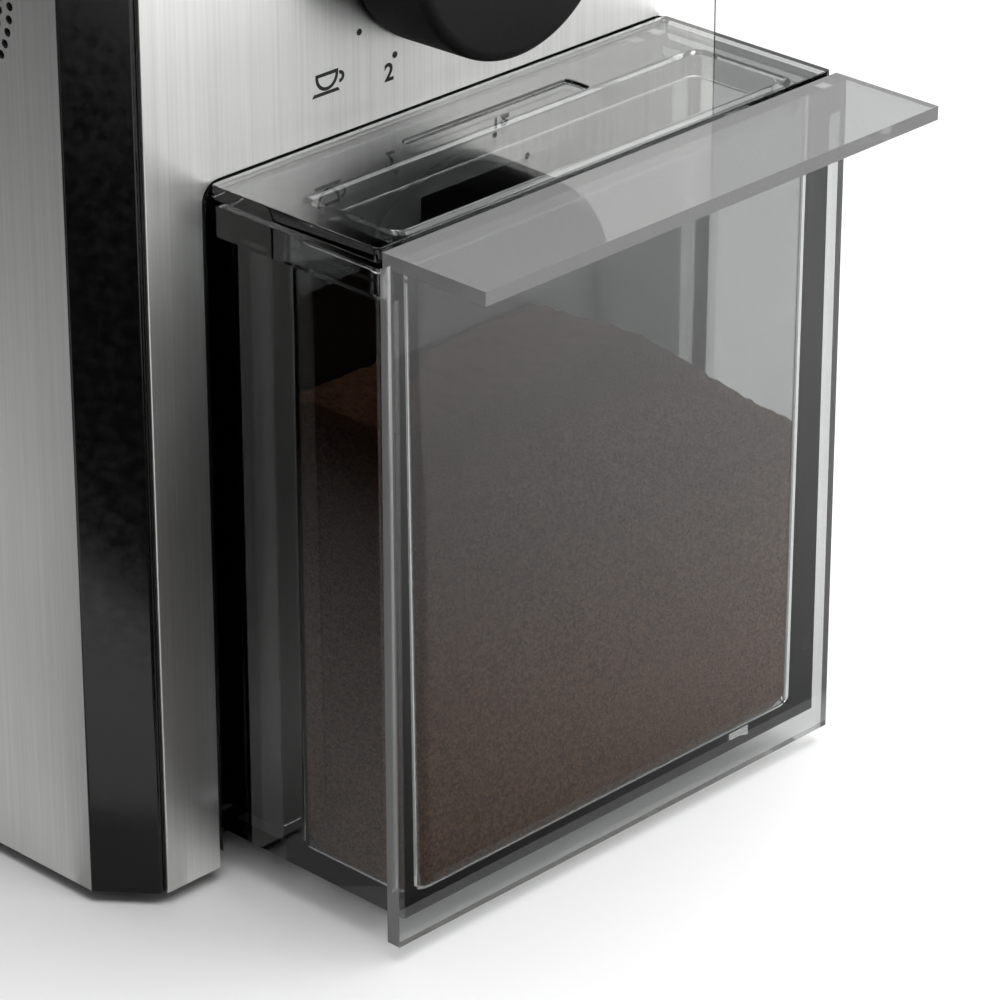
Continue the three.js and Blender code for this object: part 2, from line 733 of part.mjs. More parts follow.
// Reduction: a pinion on the motor shaft drives the large gear on the burr shaft.
function makeReduction() {
  const gear = gearOutline(gearModule, mainTeeth, Math.PI / 2, 0, burrAxisY);
  let main = extrudeUp(gear, gearBottom, gearTop);
  const recessOuter = gearModule * mainTeeth / 2 - 7;
  main = main.subtract(tube(0, burrAxisY, 12, recessOuter, gearBottom - 1, gearBottom + 3, round));
  main = main.subtract(disc(0, burrAxisY, shaftRadius, gearBottom - 1, gearTop + 1, small));
  addPart('main_gear', main, nylon);

  const pinionPhase = -Math.PI / 2 + Math.PI / pinionTeeth;
  const pinion = extrudeUp(
    gearOutline(gearModule, pinionTeeth, pinionPhase, 0, motorAxisY), gearBottom - 1, gearTop,
  );
  const shaftHole = disc(0, motorAxisY, motorShaftRadius, 0, gearTop + 2, small);
  addPart('motor_pinion', pinion.subtract(shaftHole), brass);

  addPart('burr_shaft', disc(0, burrAxisY, shaftRadius, motorTop, lowerBurrTop + 5, small), zincSteel);
  const bush = (z0, z1) => tube(0, burrAxisY, shaftRadius + runningGap, bushOuter, z0, z1);
  addPart('shaft_bush_lower', bush(motorTop, chassisTop + 1), brass);
  addPart('shaft_bush_upper', bush(coverBottom, chamberFloorTop), brass);
}

function makeGearCover() {
  const halfPlate = gearOuterRadius + 11;
  const front = chassisFront - 1;
  const rear = motorAxisY + 26;
  let cover = box(-halfPlate, halfPlate, front, rear, coverBottom, chamberBottom);
  for (const [, side] of sides) {
    for (const y of [front + 6, rear - 6]) {
      cover = cover.add(disc(side * (halfPlate - 5), y, 4, chassisTop, coverBottom + 1, tiny));
    }
  }
  cover = cover.subtract(disc(0, burrAxisY, bushOuter + fit, coverBottom - 1, chamberBottom + 1, small));
  addPart('gear_cover', cover, greyPlastic);
}

// ---------- grinding set ----------
const outletHalfWidth = 11;
const outletTop = chamberFloorTop + 16;
const capThickness = 3;
const throatWall = 5;

function makeChamber() {
  let chamber = turned([
    [bushOuter + fit, chamberBottom], [chamberRadius, chamberBottom], [chamberRadius, chamberTop],
    [chamberInner, chamberTop], [chamberInner, chamberFloorTop], [bushOuter + fit, chamberFloorTop],
  ], 0, burrAxisY, fine);
  chamber = chamber.subtract(box(
    -outletHalfWidth, outletHalfWidth, burrAxisY - chamberRadius - 1, burrAxisY - chamberInner + 6,
    chamberFloorTop, outletTop,
  ));
  addPart('grinding_chamber', chamber, greyPlastic);
  const capBore = throatRadius + throatWall + 0.5;
  const cap = tube(0, burrAxisY, capBore, chamberRadius, chamberTop, chamberTop + capThickness, fine);
  addPart('chamber_cap', cap, greyPlastic);
}

// Shallow radial grooves leave the cutting edges of a burr.
function burrGrooves(ring, faceZ, count) {
  const grooveSide = 1.6;
  const grooveOffset = 2.5;
  let cut = ring;
  for (let i = 0; i < count; i += 1) {
    const geometry = new THREE.BoxGeometry(burrRadius, grooveSide, grooveSide);
    geometry.rotateX(Math.PI / 4);
    geometry.translate(burrBore + 2 + burrRadius / 2, grooveOffset, faceZ);
    geometry.rotateZ(2 * Math.PI * i / count);
    geometry.translate(0, burrAxisY, 0);
    cut = cut.subtract(toSolid(geometry));
  }
  return cut;
}

const burrScrewCircle = (burrBore + burrRadius) / 2;
const burrScrewCount = 3;
const grooveCount = 12;

function makeBurrs() {
  const hubRadius = 9;
  const paddleHalfWidth = 1.5;
  const paddleHalfLength = 2;
  const paddleCentre = carrierRadius + 0.5;
  const screwSeat = lowerBurrTop - 3;
  const screwTop = lowerBurrTop - 1.2;
  let carrier = turned([
    [0, carrierBottom], [carrierRadius, carrierBottom], [carrierRadius, carrierTop],
    [hubRadius, carrierTop], [hubRadius, lowerBurrTop], [0, lowerBurrTop],
  ], 0, burrAxisY, fine).subtract(disc(0, burrAxisY, shaftRadius, 0, bodyHeight));
  let lower = burrGrooves(
    tube(0, burrAxisY, burrBore, burrRadius, carrierTop, lowerBurrTop, fine), lowerBurrTop, grooveCount,
  );
  for (const sign of [-1, 1]) {
    const y = burrAxisY + sign * paddleCentre;
    carrier = carrier.add(box(
      -paddleHalfWidth, paddleHalfWidth, y - paddleHalfLength, y + paddleHalfLength,
      carrierBottom - 1, carrierTop,
    ));
  }
  for (let i = 0; i < burrScrewCount; i += 1) {
    const angle = Math.PI / 6 + i * 2 * Math.PI / burrScrewCount;
    const x = burrScrewCircle * Math.cos(angle);
    const y = burrAxisY + burrScrewCircle * Math.sin(angle);
    lower = lower.subtract(disc(x, y, screwRadius + fit, carrierTop - 1, lowerBurrTop + 1, tiny));
    lower = lower.subtract(disc(x, y, screwHead + fit, screwSeat, lowerBurrTop + 1, tiny));
    carrier = carrier.subtract(disc(x, y, screwRadius + fit, carrierBottom + 1, carrierTop + 1, tiny));
    const screw = turned([
      [0, carrierBottom + 2], [screwRadius, carrierBottom + 2], [screwRadius, screwSeat],
      [screwHead, screwSeat], [screwHead, screwTop], [0, screwTop],
    ], x, y, tiny);
    addPart(`burr_screw_${i + 1}`, screw, zincSteel);
  }
  addPart('lower_burr_carrier', carrier, greyPlastic);
  addPart('lower_burr', lower, burrSteel);
  const nut = disc(0, burrAxisY, 7, lowerBurrTop, lowerBurrTop + 4, 6);
  addPart('burr_nut', nut.subtract(disc(0, burrAxisY, shaftRadius, 0, bodyHeight)), zincSteel);
  const upper = tube(0, burrAxisY, burrBore + 2, burrRadius, upperBurrBottom, upperBurrTop, fine);
  addPart('upper_burr', burrGrooves(upper, upperBurrBottom, grooveCount), burrSteel);
}

// Upper burr holder: its flange runs in the chamber, its toothed rim meets the grind knob's pinion.
function makeAdjustingRing() {
  const flangeTop = upperBurrTop + 4;
  const flangeRadius = chamberInner - 0.4;
  const collarTop = ringLevel + ringThickness + 1;
  const body = turned([
    [burrBore + 2, upperBurrTop], [flangeRadius, upperBurrTop], [flangeRadius, flangeTop],
    [throatRadius + throatWall, flangeTop], [throatRadius + throatWall, collarTop], [throatRadius, collarTop],
    [throatRadius, flangeTop + 6],
  ], 0, burrAxisY, fine);
  const rim = extrudeUp(
    gearOutline(adjustModule, ringTeeth, Math.PI / 2, 0, burrAxisY), ringLevel, ringLevel + ringThickness,
  ).subtract(disc(0, burrAxisY, throatRadius + throatWall - 1, ringLevel - 1, collarTop, fine));
  addPart('adjusting_ring', body.add(rim), greyPlastic);
}

function makeGrindKnob() {
  const phase = -Math.PI / 2 + Math.PI / knobTeeth;
  let pinion = extrudeUp(
    gearOutline(adjustModule, knobTeeth, phase, 0, knobAxisY),
    ringLevel - 0.5, ringLevel + ringThickness + 0.5,
  );
  const bottom = bodyHeight + fit;
  const top = bodyHeight + grindKnobHeight;
  const shaftTop = top - 4;
  pinion = pinion.add(disc(0, knobAxisY, knobShaftRadius, ringLevel - 4, shaftTop, small));
  addPart('grind_pinion', pinion, nylon);
  const knob = turned([
    [knobShaftRadius + fit, bottom], [grindKnobRadius, bottom], [grindKnobRadius - 0.5, top - 1.5],
    [grindKnobRadius - 2, top], [0, top], [0, shaftTop + fit], [knobShaftRadius + fit, shaftTop + fit],
  ], 0, knobAxisY, round);
  addPart('grind_knob', knob, blackPlastic);
}

// Duct from the chamber's outlet, down behind the front panel and out through the boss.
function makeChute() {
  const wall = chuteWall;
  const mouth = -bossReach + plasticWall + fit;
  const inlet = burrAxisY - chamberRadius - fit;
  const half = outletHalfWidth + 2;
  const bend = bayHeight + 1;
  const mouthTop = spoutTop - 0.5;
  const mouthBottom = spoutBottom + 0.5;
  const floor = chamberFloorTop + 1;
  const front = chuteFront;
  const back = chuteBack;
  const outer = outline([
    [inlet, outletTop + wall], [front, outletTop + wall], [front, bend], [front - 5, mouthTop],
    [mouth, mouthTop], [mouth, mouthBottom], [front - 4, mouthBottom],
    [back, bend], [back, floor - wall], [inlet, floor - wall],
  ]);
  const inner = outline([
    [inlet + 4, outletTop], [front + wall, outletTop], [front + wall, bend - 0.6],
    [front - 4, mouthTop - wall], [mouth - 4, mouthTop - wall],
    [mouth - 4, mouthBottom + wall], [front - 4.7, mouthBottom + wall],
    [back - wall, bend + 0.4], [back - wall, floor], [inlet + 4, floor],
  ]);
  const chute = extrudeAcross(outer, -half, half).subtract(extrudeAcross(inner, -half + wall, half - wall));
  addPart('coffee_chute', chute, greyPlastic);
}

// ---------- hopper ----------
const funnelTop = deckBottom;
const funnelBottom = ringLevel + 12;
const throatClearance = 0.6;

function makeHopper() {
  const y = hopperCentreY;
  const throat = throatRadius - throatClearance;
  const seat = seatRadius - 1;
  const top = bodyHeight + hopperHeight;
  const outer = loft([
    { hx: hopperHalf, hy: hopperHalf, r: hopperCorner, y, z: bodyHeight },
    { hx: hopperHalf, hy: hopperHalf, r: hopperCorner, y, z: top },
  ]).add(loft([
    { hx: throat, hy: throat, r: throat, y: burrAxisY, z: ringLevel - 4 },
    { hx: throat, hy: throat, r: throat, y: burrAxisY, z: funnelBottom },
    { hx: seat, hy: seat, r: seat, y, z: funnelTop },
    { hx: seat, hy: seat, r: seat, y, z: bodyHeight + 1 },
  ], 8));
  const bore = throat - hopperWall;
  const mouth = hopperHalf - hopperWall;
  const inner = loft([
    { hx: bore, hy: bore, r: bore, y: burrAxisY, z: ringLevel - 5 },
    { hx: bore, hy: bore, r: bore, y: burrAxisY, z: funnelBottom + 1 },
    { hx: seat - hopperWall, hy: seat - hopperWall, r: seat - hopperWall, y, z: funnelTop + 2.5 },
    { hx: mouth, hy: mouth, r: hopperCorner - hopperWall, y, z: bodyHeight + 6 },
    { hx: mouth, hy: mouth, r: hopperCorner - hopperWall, y, z: top + 1 },
  ], 8);
  addPart('hopper', outer.subtract(inner), smokedPlastic);

  const coverTop = top + hopperLidThickness;
  const skirt = mouth - 0.5;
  const corner = hopperCorner - hopperWall - 0.5;
  const skirtBottom = top - 6;
  const lid = loft([
    { hx: hopperHalf, hy: hopperHalf, r: hopperCorner, y, z: top },
    { hx: hopperHalf, hy: hopperHalf, r: hopperCorner, y, z: coverTop - 1 },
    { hx: hopperHalf - 1, hy: hopperHalf - 1, r: hopperCorner - 1, y, z: coverTop },
  ]).add(loft([
    { hx: skirt, hy: skirt, r: corner, y, z: skirtBottom },
    { hx: skirt, hy: skirt, r: corner, y, z: top + 1 },
  ])).subtract(loft([
    { hx: skirt - hopperWall, hy: skirt - hopperWall, r: corner - hopperWall, y, z: skirtBottom - 1 },
    { hx: skirt - hopperWall, hy: skirt - hopperWall, r: corner - hopperWall, y, z: top },
  ]));
  addPart('hopper_lid', lid, smokedPlastic);
  const gripTop = coverTop + gripHeight;
  const grip = turned([
    [0, coverTop], [9, coverTop], [8, coverTop + 2], [11, gripTop - 1], [10, gripTop], [0, gripTop],
  ], 0, y, round);
  addPart('hopper_lid_grip', grip, blackPlastic);
}

// ---------- controls ----------
const controlBoardHalf = 40;
const switchHalf = 11;
const switchFront = 3;
const buttonFront = 2.5;
const buttonStem = 5.5;

function makeControls() {
  let board = box(
    -controlBoardHalf, controlBoardHalf, boardFront, boardFront + boardThickness,
    bayHeight + 6, buttonHeight + 9,
  );
  board = board.subtract(rod(0, dialHeight, spindleRadius + 1, boardFront - 1, boardFront + 3));
  addPart('control_board', board, boardGreen);

  let dialSwitch = box(
    -switchHalf, switchHalf, switchFront, boardFront, dialHeight - switchHalf, dialHeight + switchHalf,
  );
  dialSwitch = dialSwitch.add(rod(0, dialHeight, dialBushRadius, -dialGap / 2, switchFront + 1));
  dialSwitch = dialSwitch.subtract(rod(0, dialHeight, spindleRadius + runningGap, -1, boardFront + 1));
  addPart('quantity_switch', dialSwitch, zincSteel);
  const spindleTip = -dialDepth + 4;
  addPart('dial_spindle', rod(0, dialHeight, spindleRadius, spindleTip, boardFront, small), zincSteel);

  const dial = turnedBack([
    [0, -dialDepth], [dialRadius - 1.6, -dialDepth], [dialRadius - 0.5, -dialDepth + 0.5],
    [dialRadius, -dialDepth + 1.8], [dialRadius, -dialGap], [dialRadius - 2, -dialGap],
    [dialRadius - 2, -dialDepth + 3], [spindleRadius + 4, -dialDepth + 3], [spindleRadius + 4, -2],
    [spindleRadius + fit, -2], [spindleRadius + fit, spindleTip - fit], [0, spindleTip - fit],
  ], 0, dialHeight, fine);
  addPart('quantity_dial', dial, blackPlastic);

  const button = turnedBack([
    [0, -buttonFront], [buttonRadius - 0.6, -buttonFront], [buttonRadius, -buttonFront + 0.6],
    [buttonRadius, sheet + fit], [buttonRadius + 1.5, sheet + fit], [buttonRadius + 1.5, 3], [2, 3],
    [2, buttonStem], [0, buttonStem],
  ], 0, buttonHeight, round);
  addPart('start_button', button, blackPlastic);
  const keyHalf = 6;
  const key = box(
    -keyHalf, keyHalf, buttonStem + buttonTravel + fit, boardFront,
    buttonHeight - keyHalf, buttonHeight + keyHalf,
  );
  addPart('start_switch', key, greyPlastic);
}

function makePowerBoard() {
  const half = boardPostX + 5;
  const board = box(-half, half, boardBack - boardThickness, boardBack, boardBottom, boardTop);
  addPart('power_board', board, boardGreen);
}

// ---------- grounds container ----------
const cavityFront = -plateRear + containerFrontWall;
const cavityRear = containerRearFace - containerRearWall;
const cavityHalf = containerHalfWidth - containerWall - cavityTaper / 2;
const lidClearance = 0.6;
const grooveHalfWidth = 17;
const grooveFront = -12.6;
const grooveBack = -7.9;
const grooveDepth = 0.5;

function cavityLoft(shrink, z0, z1) {
  const y = (cavityFront + cavityRear) / 2;
  const hy = (cavityRear - cavityFront) / 2;
  return loft([
    { hx: cavityHalf - shrink - cavityTaper, hy: hy - shrink, r: cavityCorner, y, z: z0 },
    { hx: cavityHalf - shrink, hy: hy - shrink, r: cavityCorner, y, z: z1 },
  ]);
}

function makeContainer() {
  const front = -plateRear;
  const half = containerHalfWidth;
  let can = box(-half, half, front, containerRearFace, containerBottom, rimTop - 1);
  can = can.add(box(-half, half, front, containerTail, containerBottom, containerBottom + containerFloor));
  for (const [, side] of sides) {
    can = can.add(sidedBox(
      side, half - containerWall, half, containerRearFace - 1, containerTail, containerBottom, rimBottom + 1,
    ));
  }
  can = can.add(box(-rimHalfWidth, rimHalfWidth, front, -lidSeam, rimBottom, rimTop));
  can = can.subtract(cavityLoft(0, containerBottom + containerFloor, rimTop + 0.5));
  can = can.subtract(box(
    -spoutHalfWidth - 1, spoutHalfWidth + 1, cavityRear - 2, containerRearFace + 2,
    spoutBottom - 1, spoutTop + 1,
  ));
  addPart('container_box', can, clearPlastic);

  const profile = outline([
    [-plateFront, plateBottom], [-plateRear, plateBottom], [-plateRear, lipTop], [-lipReach, lipTop],
    [-lipReach, lipTop - lipThickness], [-plateFront, lipTop - lipThickness],
  ]);
  addPart('container_front_plate', extrudeAcross(profile, -rimHalfWidth, rimHalfWidth), clearPlastic);
}

function makeContainerLid() {
  const bottom = rimTop + lidSeam;
  const skirtWall = 1.6;
  const skirtDepth = 3;
  let lid = box(-rimHalfWidth, rimHalfWidth, -plateRear + plateGap, -fit, bottom, lidTop);
  lid = lid.add(cavityLoft(lidClearance, rimTop - skirtDepth, bottom + 0.5));
  lid = lid.subtract(cavityLoft(lidClearance + skirtWall, rimTop - skirtDepth - 1, bottom));
  lid = lid.subtract(box(
    -grooveHalfWidth, grooveHalfWidth, grooveFront, grooveBack, lidTop - grooveDepth, lidTop + 1,
  ));
  addPart('container_lid', lid, clearPlastic);
}

makeBase();
makeFeet();
makeSidePanels();
makeFrontPanel();
makeCornerPosts();
makeBayHousing();
makeRearCover();
makeTopDeck();
makeCoverScrews();
makeCordGland();
makeChassis();
makeBaseScrews();
makeMotor();
makeFan();
makeReduction();
makeGearCover();
makeChamber();
makeBurrs();
makeAdjustingRing();
makeGrindKnob();
makeChute();
makeHopper();
makeControls();
makePowerBoard();
makeContainer();
makeContainerLid();

export default grinder;
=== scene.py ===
import json
import math

import bmesh
import bpy
from mathutils import Matrix, Vector, noise


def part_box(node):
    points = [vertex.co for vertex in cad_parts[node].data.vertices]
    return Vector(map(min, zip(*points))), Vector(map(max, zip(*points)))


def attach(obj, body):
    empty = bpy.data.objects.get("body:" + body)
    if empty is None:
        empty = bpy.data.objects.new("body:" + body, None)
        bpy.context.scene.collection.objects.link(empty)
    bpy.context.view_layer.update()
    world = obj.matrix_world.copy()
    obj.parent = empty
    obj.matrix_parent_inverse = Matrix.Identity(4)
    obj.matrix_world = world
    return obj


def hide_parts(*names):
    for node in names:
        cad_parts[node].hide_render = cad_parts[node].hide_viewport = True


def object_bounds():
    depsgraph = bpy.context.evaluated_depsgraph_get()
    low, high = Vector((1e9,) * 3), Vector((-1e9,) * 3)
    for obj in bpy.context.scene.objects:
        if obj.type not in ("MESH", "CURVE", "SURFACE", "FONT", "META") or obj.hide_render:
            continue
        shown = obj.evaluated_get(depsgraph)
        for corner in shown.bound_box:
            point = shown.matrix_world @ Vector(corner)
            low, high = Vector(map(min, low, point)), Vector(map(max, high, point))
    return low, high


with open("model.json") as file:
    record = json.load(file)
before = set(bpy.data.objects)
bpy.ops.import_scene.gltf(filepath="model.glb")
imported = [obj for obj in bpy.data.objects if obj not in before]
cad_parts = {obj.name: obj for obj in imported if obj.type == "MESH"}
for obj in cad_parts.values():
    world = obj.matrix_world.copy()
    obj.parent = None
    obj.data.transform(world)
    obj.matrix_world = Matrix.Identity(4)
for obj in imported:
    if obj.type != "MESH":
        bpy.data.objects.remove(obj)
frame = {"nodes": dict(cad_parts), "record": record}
cad_low, cad_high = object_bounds()

# ---------------------------------------------------------------------------
# Studio: a plain white table, seen from the front left with a long lens. A wide soft box overhead and another
# at the front right light it, the world fills in dimly, and faded cards that only reflections see paint dark
# reflections, standing in for shade, into what the glossy faces mirror.
MM = 0.001
panel_low, panel_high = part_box("front_panel")
panel_y = panel_low.y
floor_z = cad_low.z

view_azimuth = math.radians(-45.93)
view_elevation = math.radians(25.89)
view_distance = 0.7253
view_lens = 180.0
view_aim = Vector((-5.8 * MM, panel_y - 16.5 * MM, panel_low.z + 50.8 * MM))


def new_object(name, data):
    """An object in the scene."""
    made = bpy.data.objects.new(name, data)
    bpy.context.scene.collection.objects.link(made)
    return made


camera_data = bpy.data.cameras.new("camera")
camera_data.lens = view_lens
camera_data.sensor_width = 36.0
camera = new_object("camera", camera_data)
toward_camera = Vector((
    math.sin(view_azimuth) * math.cos(view_elevation),
    -math.cos(view_azimuth) * math.cos(view_elevation),
    math.sin(view_elevation),
))
camera.location = view_aim + toward_camera * view_distance
camera.rotation_mode = "QUATERNION"
camera.rotation_quaternion = toward_camera.to_track_quat("Z", "Y")
bpy.context.scene.camera = camera
bpy.context.scene.view_settings.view_transform = "Standard"
bpy.context.scene.view_settings.look = "None"


def add_node(tree, kind, settings=None, links=None):
    """One node, with its settings and input values by name and its links as {input: source socket}."""
    made = tree.nodes.new(kind)
    for key, value in (settings or {}).items():
        if isinstance(key, int) or key in made.inputs:
            made.inputs[key].default_value = value
        else:
            setattr(made, key, value)
    for key, source in (links or {}).items():
        tree.links.new(source, made.inputs[key])
    return made


def colour(hex_code):
    """An sRGB hex value as linear RGBA."""
    channels = [int(hex_code[i:i + 2], 16) / 255 for i in (1, 3, 5)]
    linear = [c / 12.92 if c <= 0.04045 else ((c + 0.055) / 1.055) ** 2.4 for c in channels]
    return (*linear, 1.0)


def new_material(name, settings):
    """A node material, its tree and its Principled shader with input values by name."""
    made = bpy.data.materials.new(name)
    made.use_nodes = True
    tree = made.node_tree
    shader = next(n for n in tree.nodes if n.type == "BSDF_PRINCIPLED")
    for key, value in settings.items():
        shader.inputs[key].default_value = value
    return made, tree, shader


def object_noise(tree, scale, detail=3.0, stretch=(1, 1, 1)):
    """Noise on Object coordinates: scale in features per metre, stretched along the axes."""
    coords = add_node(tree, "ShaderNodeTexCoord")
    mapping = add_node(tree, "ShaderNodeMapping", {"Scale": stretch}, {"Vector": coords.outputs["Object"]})
    return add_node(
        tree, "ShaderNodeTexNoise", {"Scale": scale, "Detail": detail}, {"Vector": mapping.outputs["Vector"]}
    ).outputs["Fac"]


def remap(tree, source, low, high, start=0.3, end=0.7):
    """A value's range start..end turned into low..high."""
    return add_node(
        tree, "ShaderNodeMapRange",
        {"From Min": start, "From Max": end, "To Min": low, "To Max": high}, {"Value": source},
    ).outputs["Result"]


def blend_colours(tree, factor, first, second):
    """Two sRGB colours mixed by a factor."""
    settings = {"data_type": "RGBA", 6: colour(first), 7: colour(second)}
    return add_node(tree, "ShaderNodeMix", settings, {"Factor": factor}).outputs[2]


def paint(tree, shader, factor, first, second):
    """The shader's colour, wandering between two tones."""
    tree.links.new(blend_colours(tree, factor, first, second), shader.inputs["Base Color"])


def vary_gloss(tree, shader, source, low, high):
    """The shader's roughness, uneven between two values."""
    tree.links.new(remap(tree, source, low, high), shader.inputs["Roughness"])


def satin_table():
    """Laminate table top, white and faintly satin, with a very slow unevenness."""
    settings = {"Roughness": 0.55, "Specular IOR Level": 0.25}
    made, tree, shader = new_material("white_satin_laminate", settings)
    paint(tree, shader, object_noise(tree, 4.0, 2.0), "#f4f4f4", "#f8f8f8")
    return made


def flat_card(name, corners, height, material):
    """A four-cornered face lying level."""
    mesh = bpy.data.meshes.new(name)
    mesh.from_pydata([(x, y, height) for x, y in corners], [], [(0, 1, 2, 3)])
    mesh.materials.append(material)
    return new_object(name, mesh)


reach = 6.0
table_corners = [(-reach, -reach), (reach, -reach), (reach, reach), (-reach, reach)]
floor = flat_card("floor", table_corners, floor_z, satin_table())

world = bpy.data.worlds.new("studio")
world.use_nodes = True
bpy.context.scene.world = world
sky = next(n for n in world.node_tree.nodes if n.type == "BACKGROUND")
sky.inputs["Strength"].default_value = 0.68
# The room is pale at the right and dim at the left, as beside a window.
heading = add_node(world.node_tree, "ShaderNodeTexCoord")
parts = add_node(world.node_tree, "ShaderNodeSeparateXYZ", None, {"Vector": heading.outputs["Generated"]})
side = remap(world.node_tree, parts.outputs["X"], 0.0, 1.0, -0.55, 0.35)
world.node_tree.links.new(blend_colours(world.node_tree, side, "#767676", "#ffffff"), sky.inputs["Color"])


def soft_box(name, place, aim, size, watts):
    """A rectangular area light at a place, turned towards an aim."""
    data = bpy.data.lights.new(name, "AREA")
    data.shape = "RECTANGLE"
    data.size, data.size_y = size
    data.energy = watts
    light = new_object(name, data)
    light.location = place
    light.rotation_mode = "QUATERNION"
    light.rotation_quaternion = (Vector(place) - Vector(aim)).to_track_quat("Z", "Y")


soft_box("top_light", (0.12, -0.25, 1.1), (0.0, -0.1, 0.0), (1.3, 1.1), 15.0)
soft_box("front_light", (1.0, -1.1, 0.7), (0.1, -0.1, 0.05), (1.1, 0.95), 5.5)


def painted_reflection_card(name, black_x, white_x):
    """Painted reflection: a matte card airbrushed from black at one X to the table's white at another, with a
    paper grain.
    """
    made, tree, shader = new_material(name, {"Specular IOR Level": 0.05})
    coords = add_node(tree, "ShaderNodeTexCoord")
    place = add_node(tree, "ShaderNodeSeparateXYZ", None, {"Vector": coords.outputs["Object"]})
    paint(tree, shader, remap(tree, place.outputs["X"], 0.0, 1.0, black_x, white_x), "#070707", "#f4f4f4")
    vary_gloss(tree, shader, object_noise(tree, 800.0), 0.9, 0.96)
    return made


def reflected_flag(name, lift_mm, corners, black_x, white_x):
    """A faded card just above the table that only glossy and clear faces see, painting a dark reflection
    there.
    """
    card = painted_reflection_card(name + "_card", black_x, white_x)
    flag = flat_card(name, corners, floor_z + lift_mm * MM, card)
    flag.visible_camera = False
    flag.visible_diffuse = False
    flag.visible_shadow = False


# The cards paint dark reflections, standing in for shade, into what these faces mirror: the casing's side,
# the container's side (a narrow strip running off behind the left) and the container's front. Each lies at
# its own height, so that none hides another.
side_field = [(-1.6, 0.0), (-0.14, 0.0), (-0.14, 1.2), (-1.6, 1.2)]
near_strip = [(-0.063, -0.082), (-0.045, -0.0635), (-0.2, 0.107), (-0.24, 0.087)]
front_field = [(-1.2, -0.235), (0.16, -0.235), (0.16, -0.098), (-1.2, -0.098)]
reflected_flag("side_flag", 0.8, side_field, -0.29, -0.13)
reflected_flag("near_flag", 1.2, near_strip, -0.15, 0.0)
reflected_flag("front_flag", 1.6, front_field, -0.08, 0.16)

# ---------------------------------------------------------------------------
# Base plate and feet. The base is an ABS moulding with a fine spark-eroded texture;
# four round feet of soft black rubber are pushed into its holes.


def bump(tree, shader, height, distance, strength=1.0):
    """Relief of that depth in metres on the shader."""
    made = add_node(
        tree, "ShaderNodeBump", {"Distance": distance, "Strength": strength}, {"Height": height}
    )
    tree.links.new(made.outputs["Normal"], shader.inputs["Normal"])


def moulded_abs(name, dark, light, roughness, grain_mm, relief_mm, gloss=0.5):
    """Injection-moulded ABS: spark-eroded grain, faint tone changes and slightly uneven gloss."""
    made, tree, shader = new_material(name, {"IOR": 1.53, "Specular IOR Level": gloss})
    grain = object_noise(tree, 1 / (grain_mm * MM))
    paint(tree, shader, object_noise(tree, 60.0, 2.0), dark, light)
    vary_gloss(tree, shader, grain, roughness - 0.05, roughness + 0.06)
    bump(tree, shader, grain, relief_mm * MM)
    return made


abs_matte = moulded_abs("abs_matte_black", "#0d0d0e", "#131314", 0.55, 0.35, 0.02, 0.18)


def silicone_rubber():
    """Soft black rubber: matte, slightly greyer where it has rubbed."""
    made, tree, shader = new_material("soft_black_rubber", {"Roughness": 0.85})
    worn = object_noise(tree, 350.0, 4.0)
    paint(tree, shader, worn, "#121212", "#262625")
    bump(tree, shader, worn, 0.05 * MM)
    return made


rubber = silicone_rubber()


def put_material(piece, material):
    """The material on every face of a piece."""
    piece.data.materials.clear()
    piece.data.materials.append(material)
    for face in piece.data.polygons:
        face.material_index = 0


def bake_modifiers(piece):
    """The piece's modifiers made part of its mesh."""
    graph = bpy.context.evaluated_depsgraph_get()
    mesh = bpy.data.meshes.new_from_object(piece.evaluated_get(graph))
    piece.modifiers.clear()
    piece.data = mesh
    return piece


def smooth_by_angle(piece, degrees=32.0):
    """Smooth shading with edges kept sharp past an angle; large flat faces stay truly flat."""
    mesh = piece.data
    mesh.polygons.foreach_set("use_smooth", [True] * len(mesh.polygons))
    edit = bmesh.new()
    edit.from_mesh(mesh)
    for edge in edit.edges:
        edge.smooth = len(edge.link_faces) == 2 and edge.calc_face_angle(0.0) < math.radians(degrees)
    edit.to_mesh(mesh)
    edit.free()
    flatness = piece.modifiers.new("flatness", "WEIGHTED_NORMAL")
    flatness.mode = "FACE_AREA"
    flatness.weight = 70
    flatness.keep_sharp = True
    bake_modifiers(piece)


def new_piece(name, edit):
    """A piece from a finished bmesh, with its normals facing out."""
    bmesh.ops.remove_doubles(edit, verts=edit.verts[:], dist=1e-7)
    bmesh.ops.recalc_face_normals(edit, faces=edit.faces[:])
    mesh = bpy.data.meshes.new(name)
    edit.to_mesh(mesh)
    edit.free()
    return new_object(name, mesh)


def turned(name, profile, centre, axis="Z", segments=72):
    """A closed profile of (radius, height) in metres turned about an axis through a point."""
    edit = bmesh.new()
    rings = []
    for radius, height in profile:
        ring = []
        steps = segments if radius > 1e-7 else 1
        for i in range(steps):
            a = 2 * math.pi * i / segments
            across, up = radius * math.cos(a), radius * math.sin(a)
            offset = (across, up, height) if axis == "Z" else (across, height, up)
            ring.append(edit.verts.new(Vector(centre) + Vector(offset)))
        rings.append(ring)
    closed = profile[0][0] > 1e-7 or profile[-1][0] > 1e-7
    pairs = list(zip(rings, rings[1:] + rings[:1])) if closed else list(zip(rings, rings[1:]))
    for lower, upper in pairs:
        for i in range(segments):
            j = (i + 1) % segments
            corners = []
            for ring, step in ((lower, i), (lower, j), (upper, j), (upper, i)):
                vert = ring[step % len(ring)]
                if vert not in corners:
                    corners.append(vert)
            if len(corners) > 2:
                edit.faces.new(corners)
    piece = new_piece(name, edit)
    smooth_by_angle(piece)
    return piece


def fillet(radius, height, size, start_deg, steps=5):
    """Points of a rounded corner of a turned profile about its own centre."""
    points = []
    for i in range(steps + 1):
        a = math.radians(start_deg + 90.0 * i / steps)
        points.append((radius + size * math.cos(a), height + size * math.sin(a)))
    return points


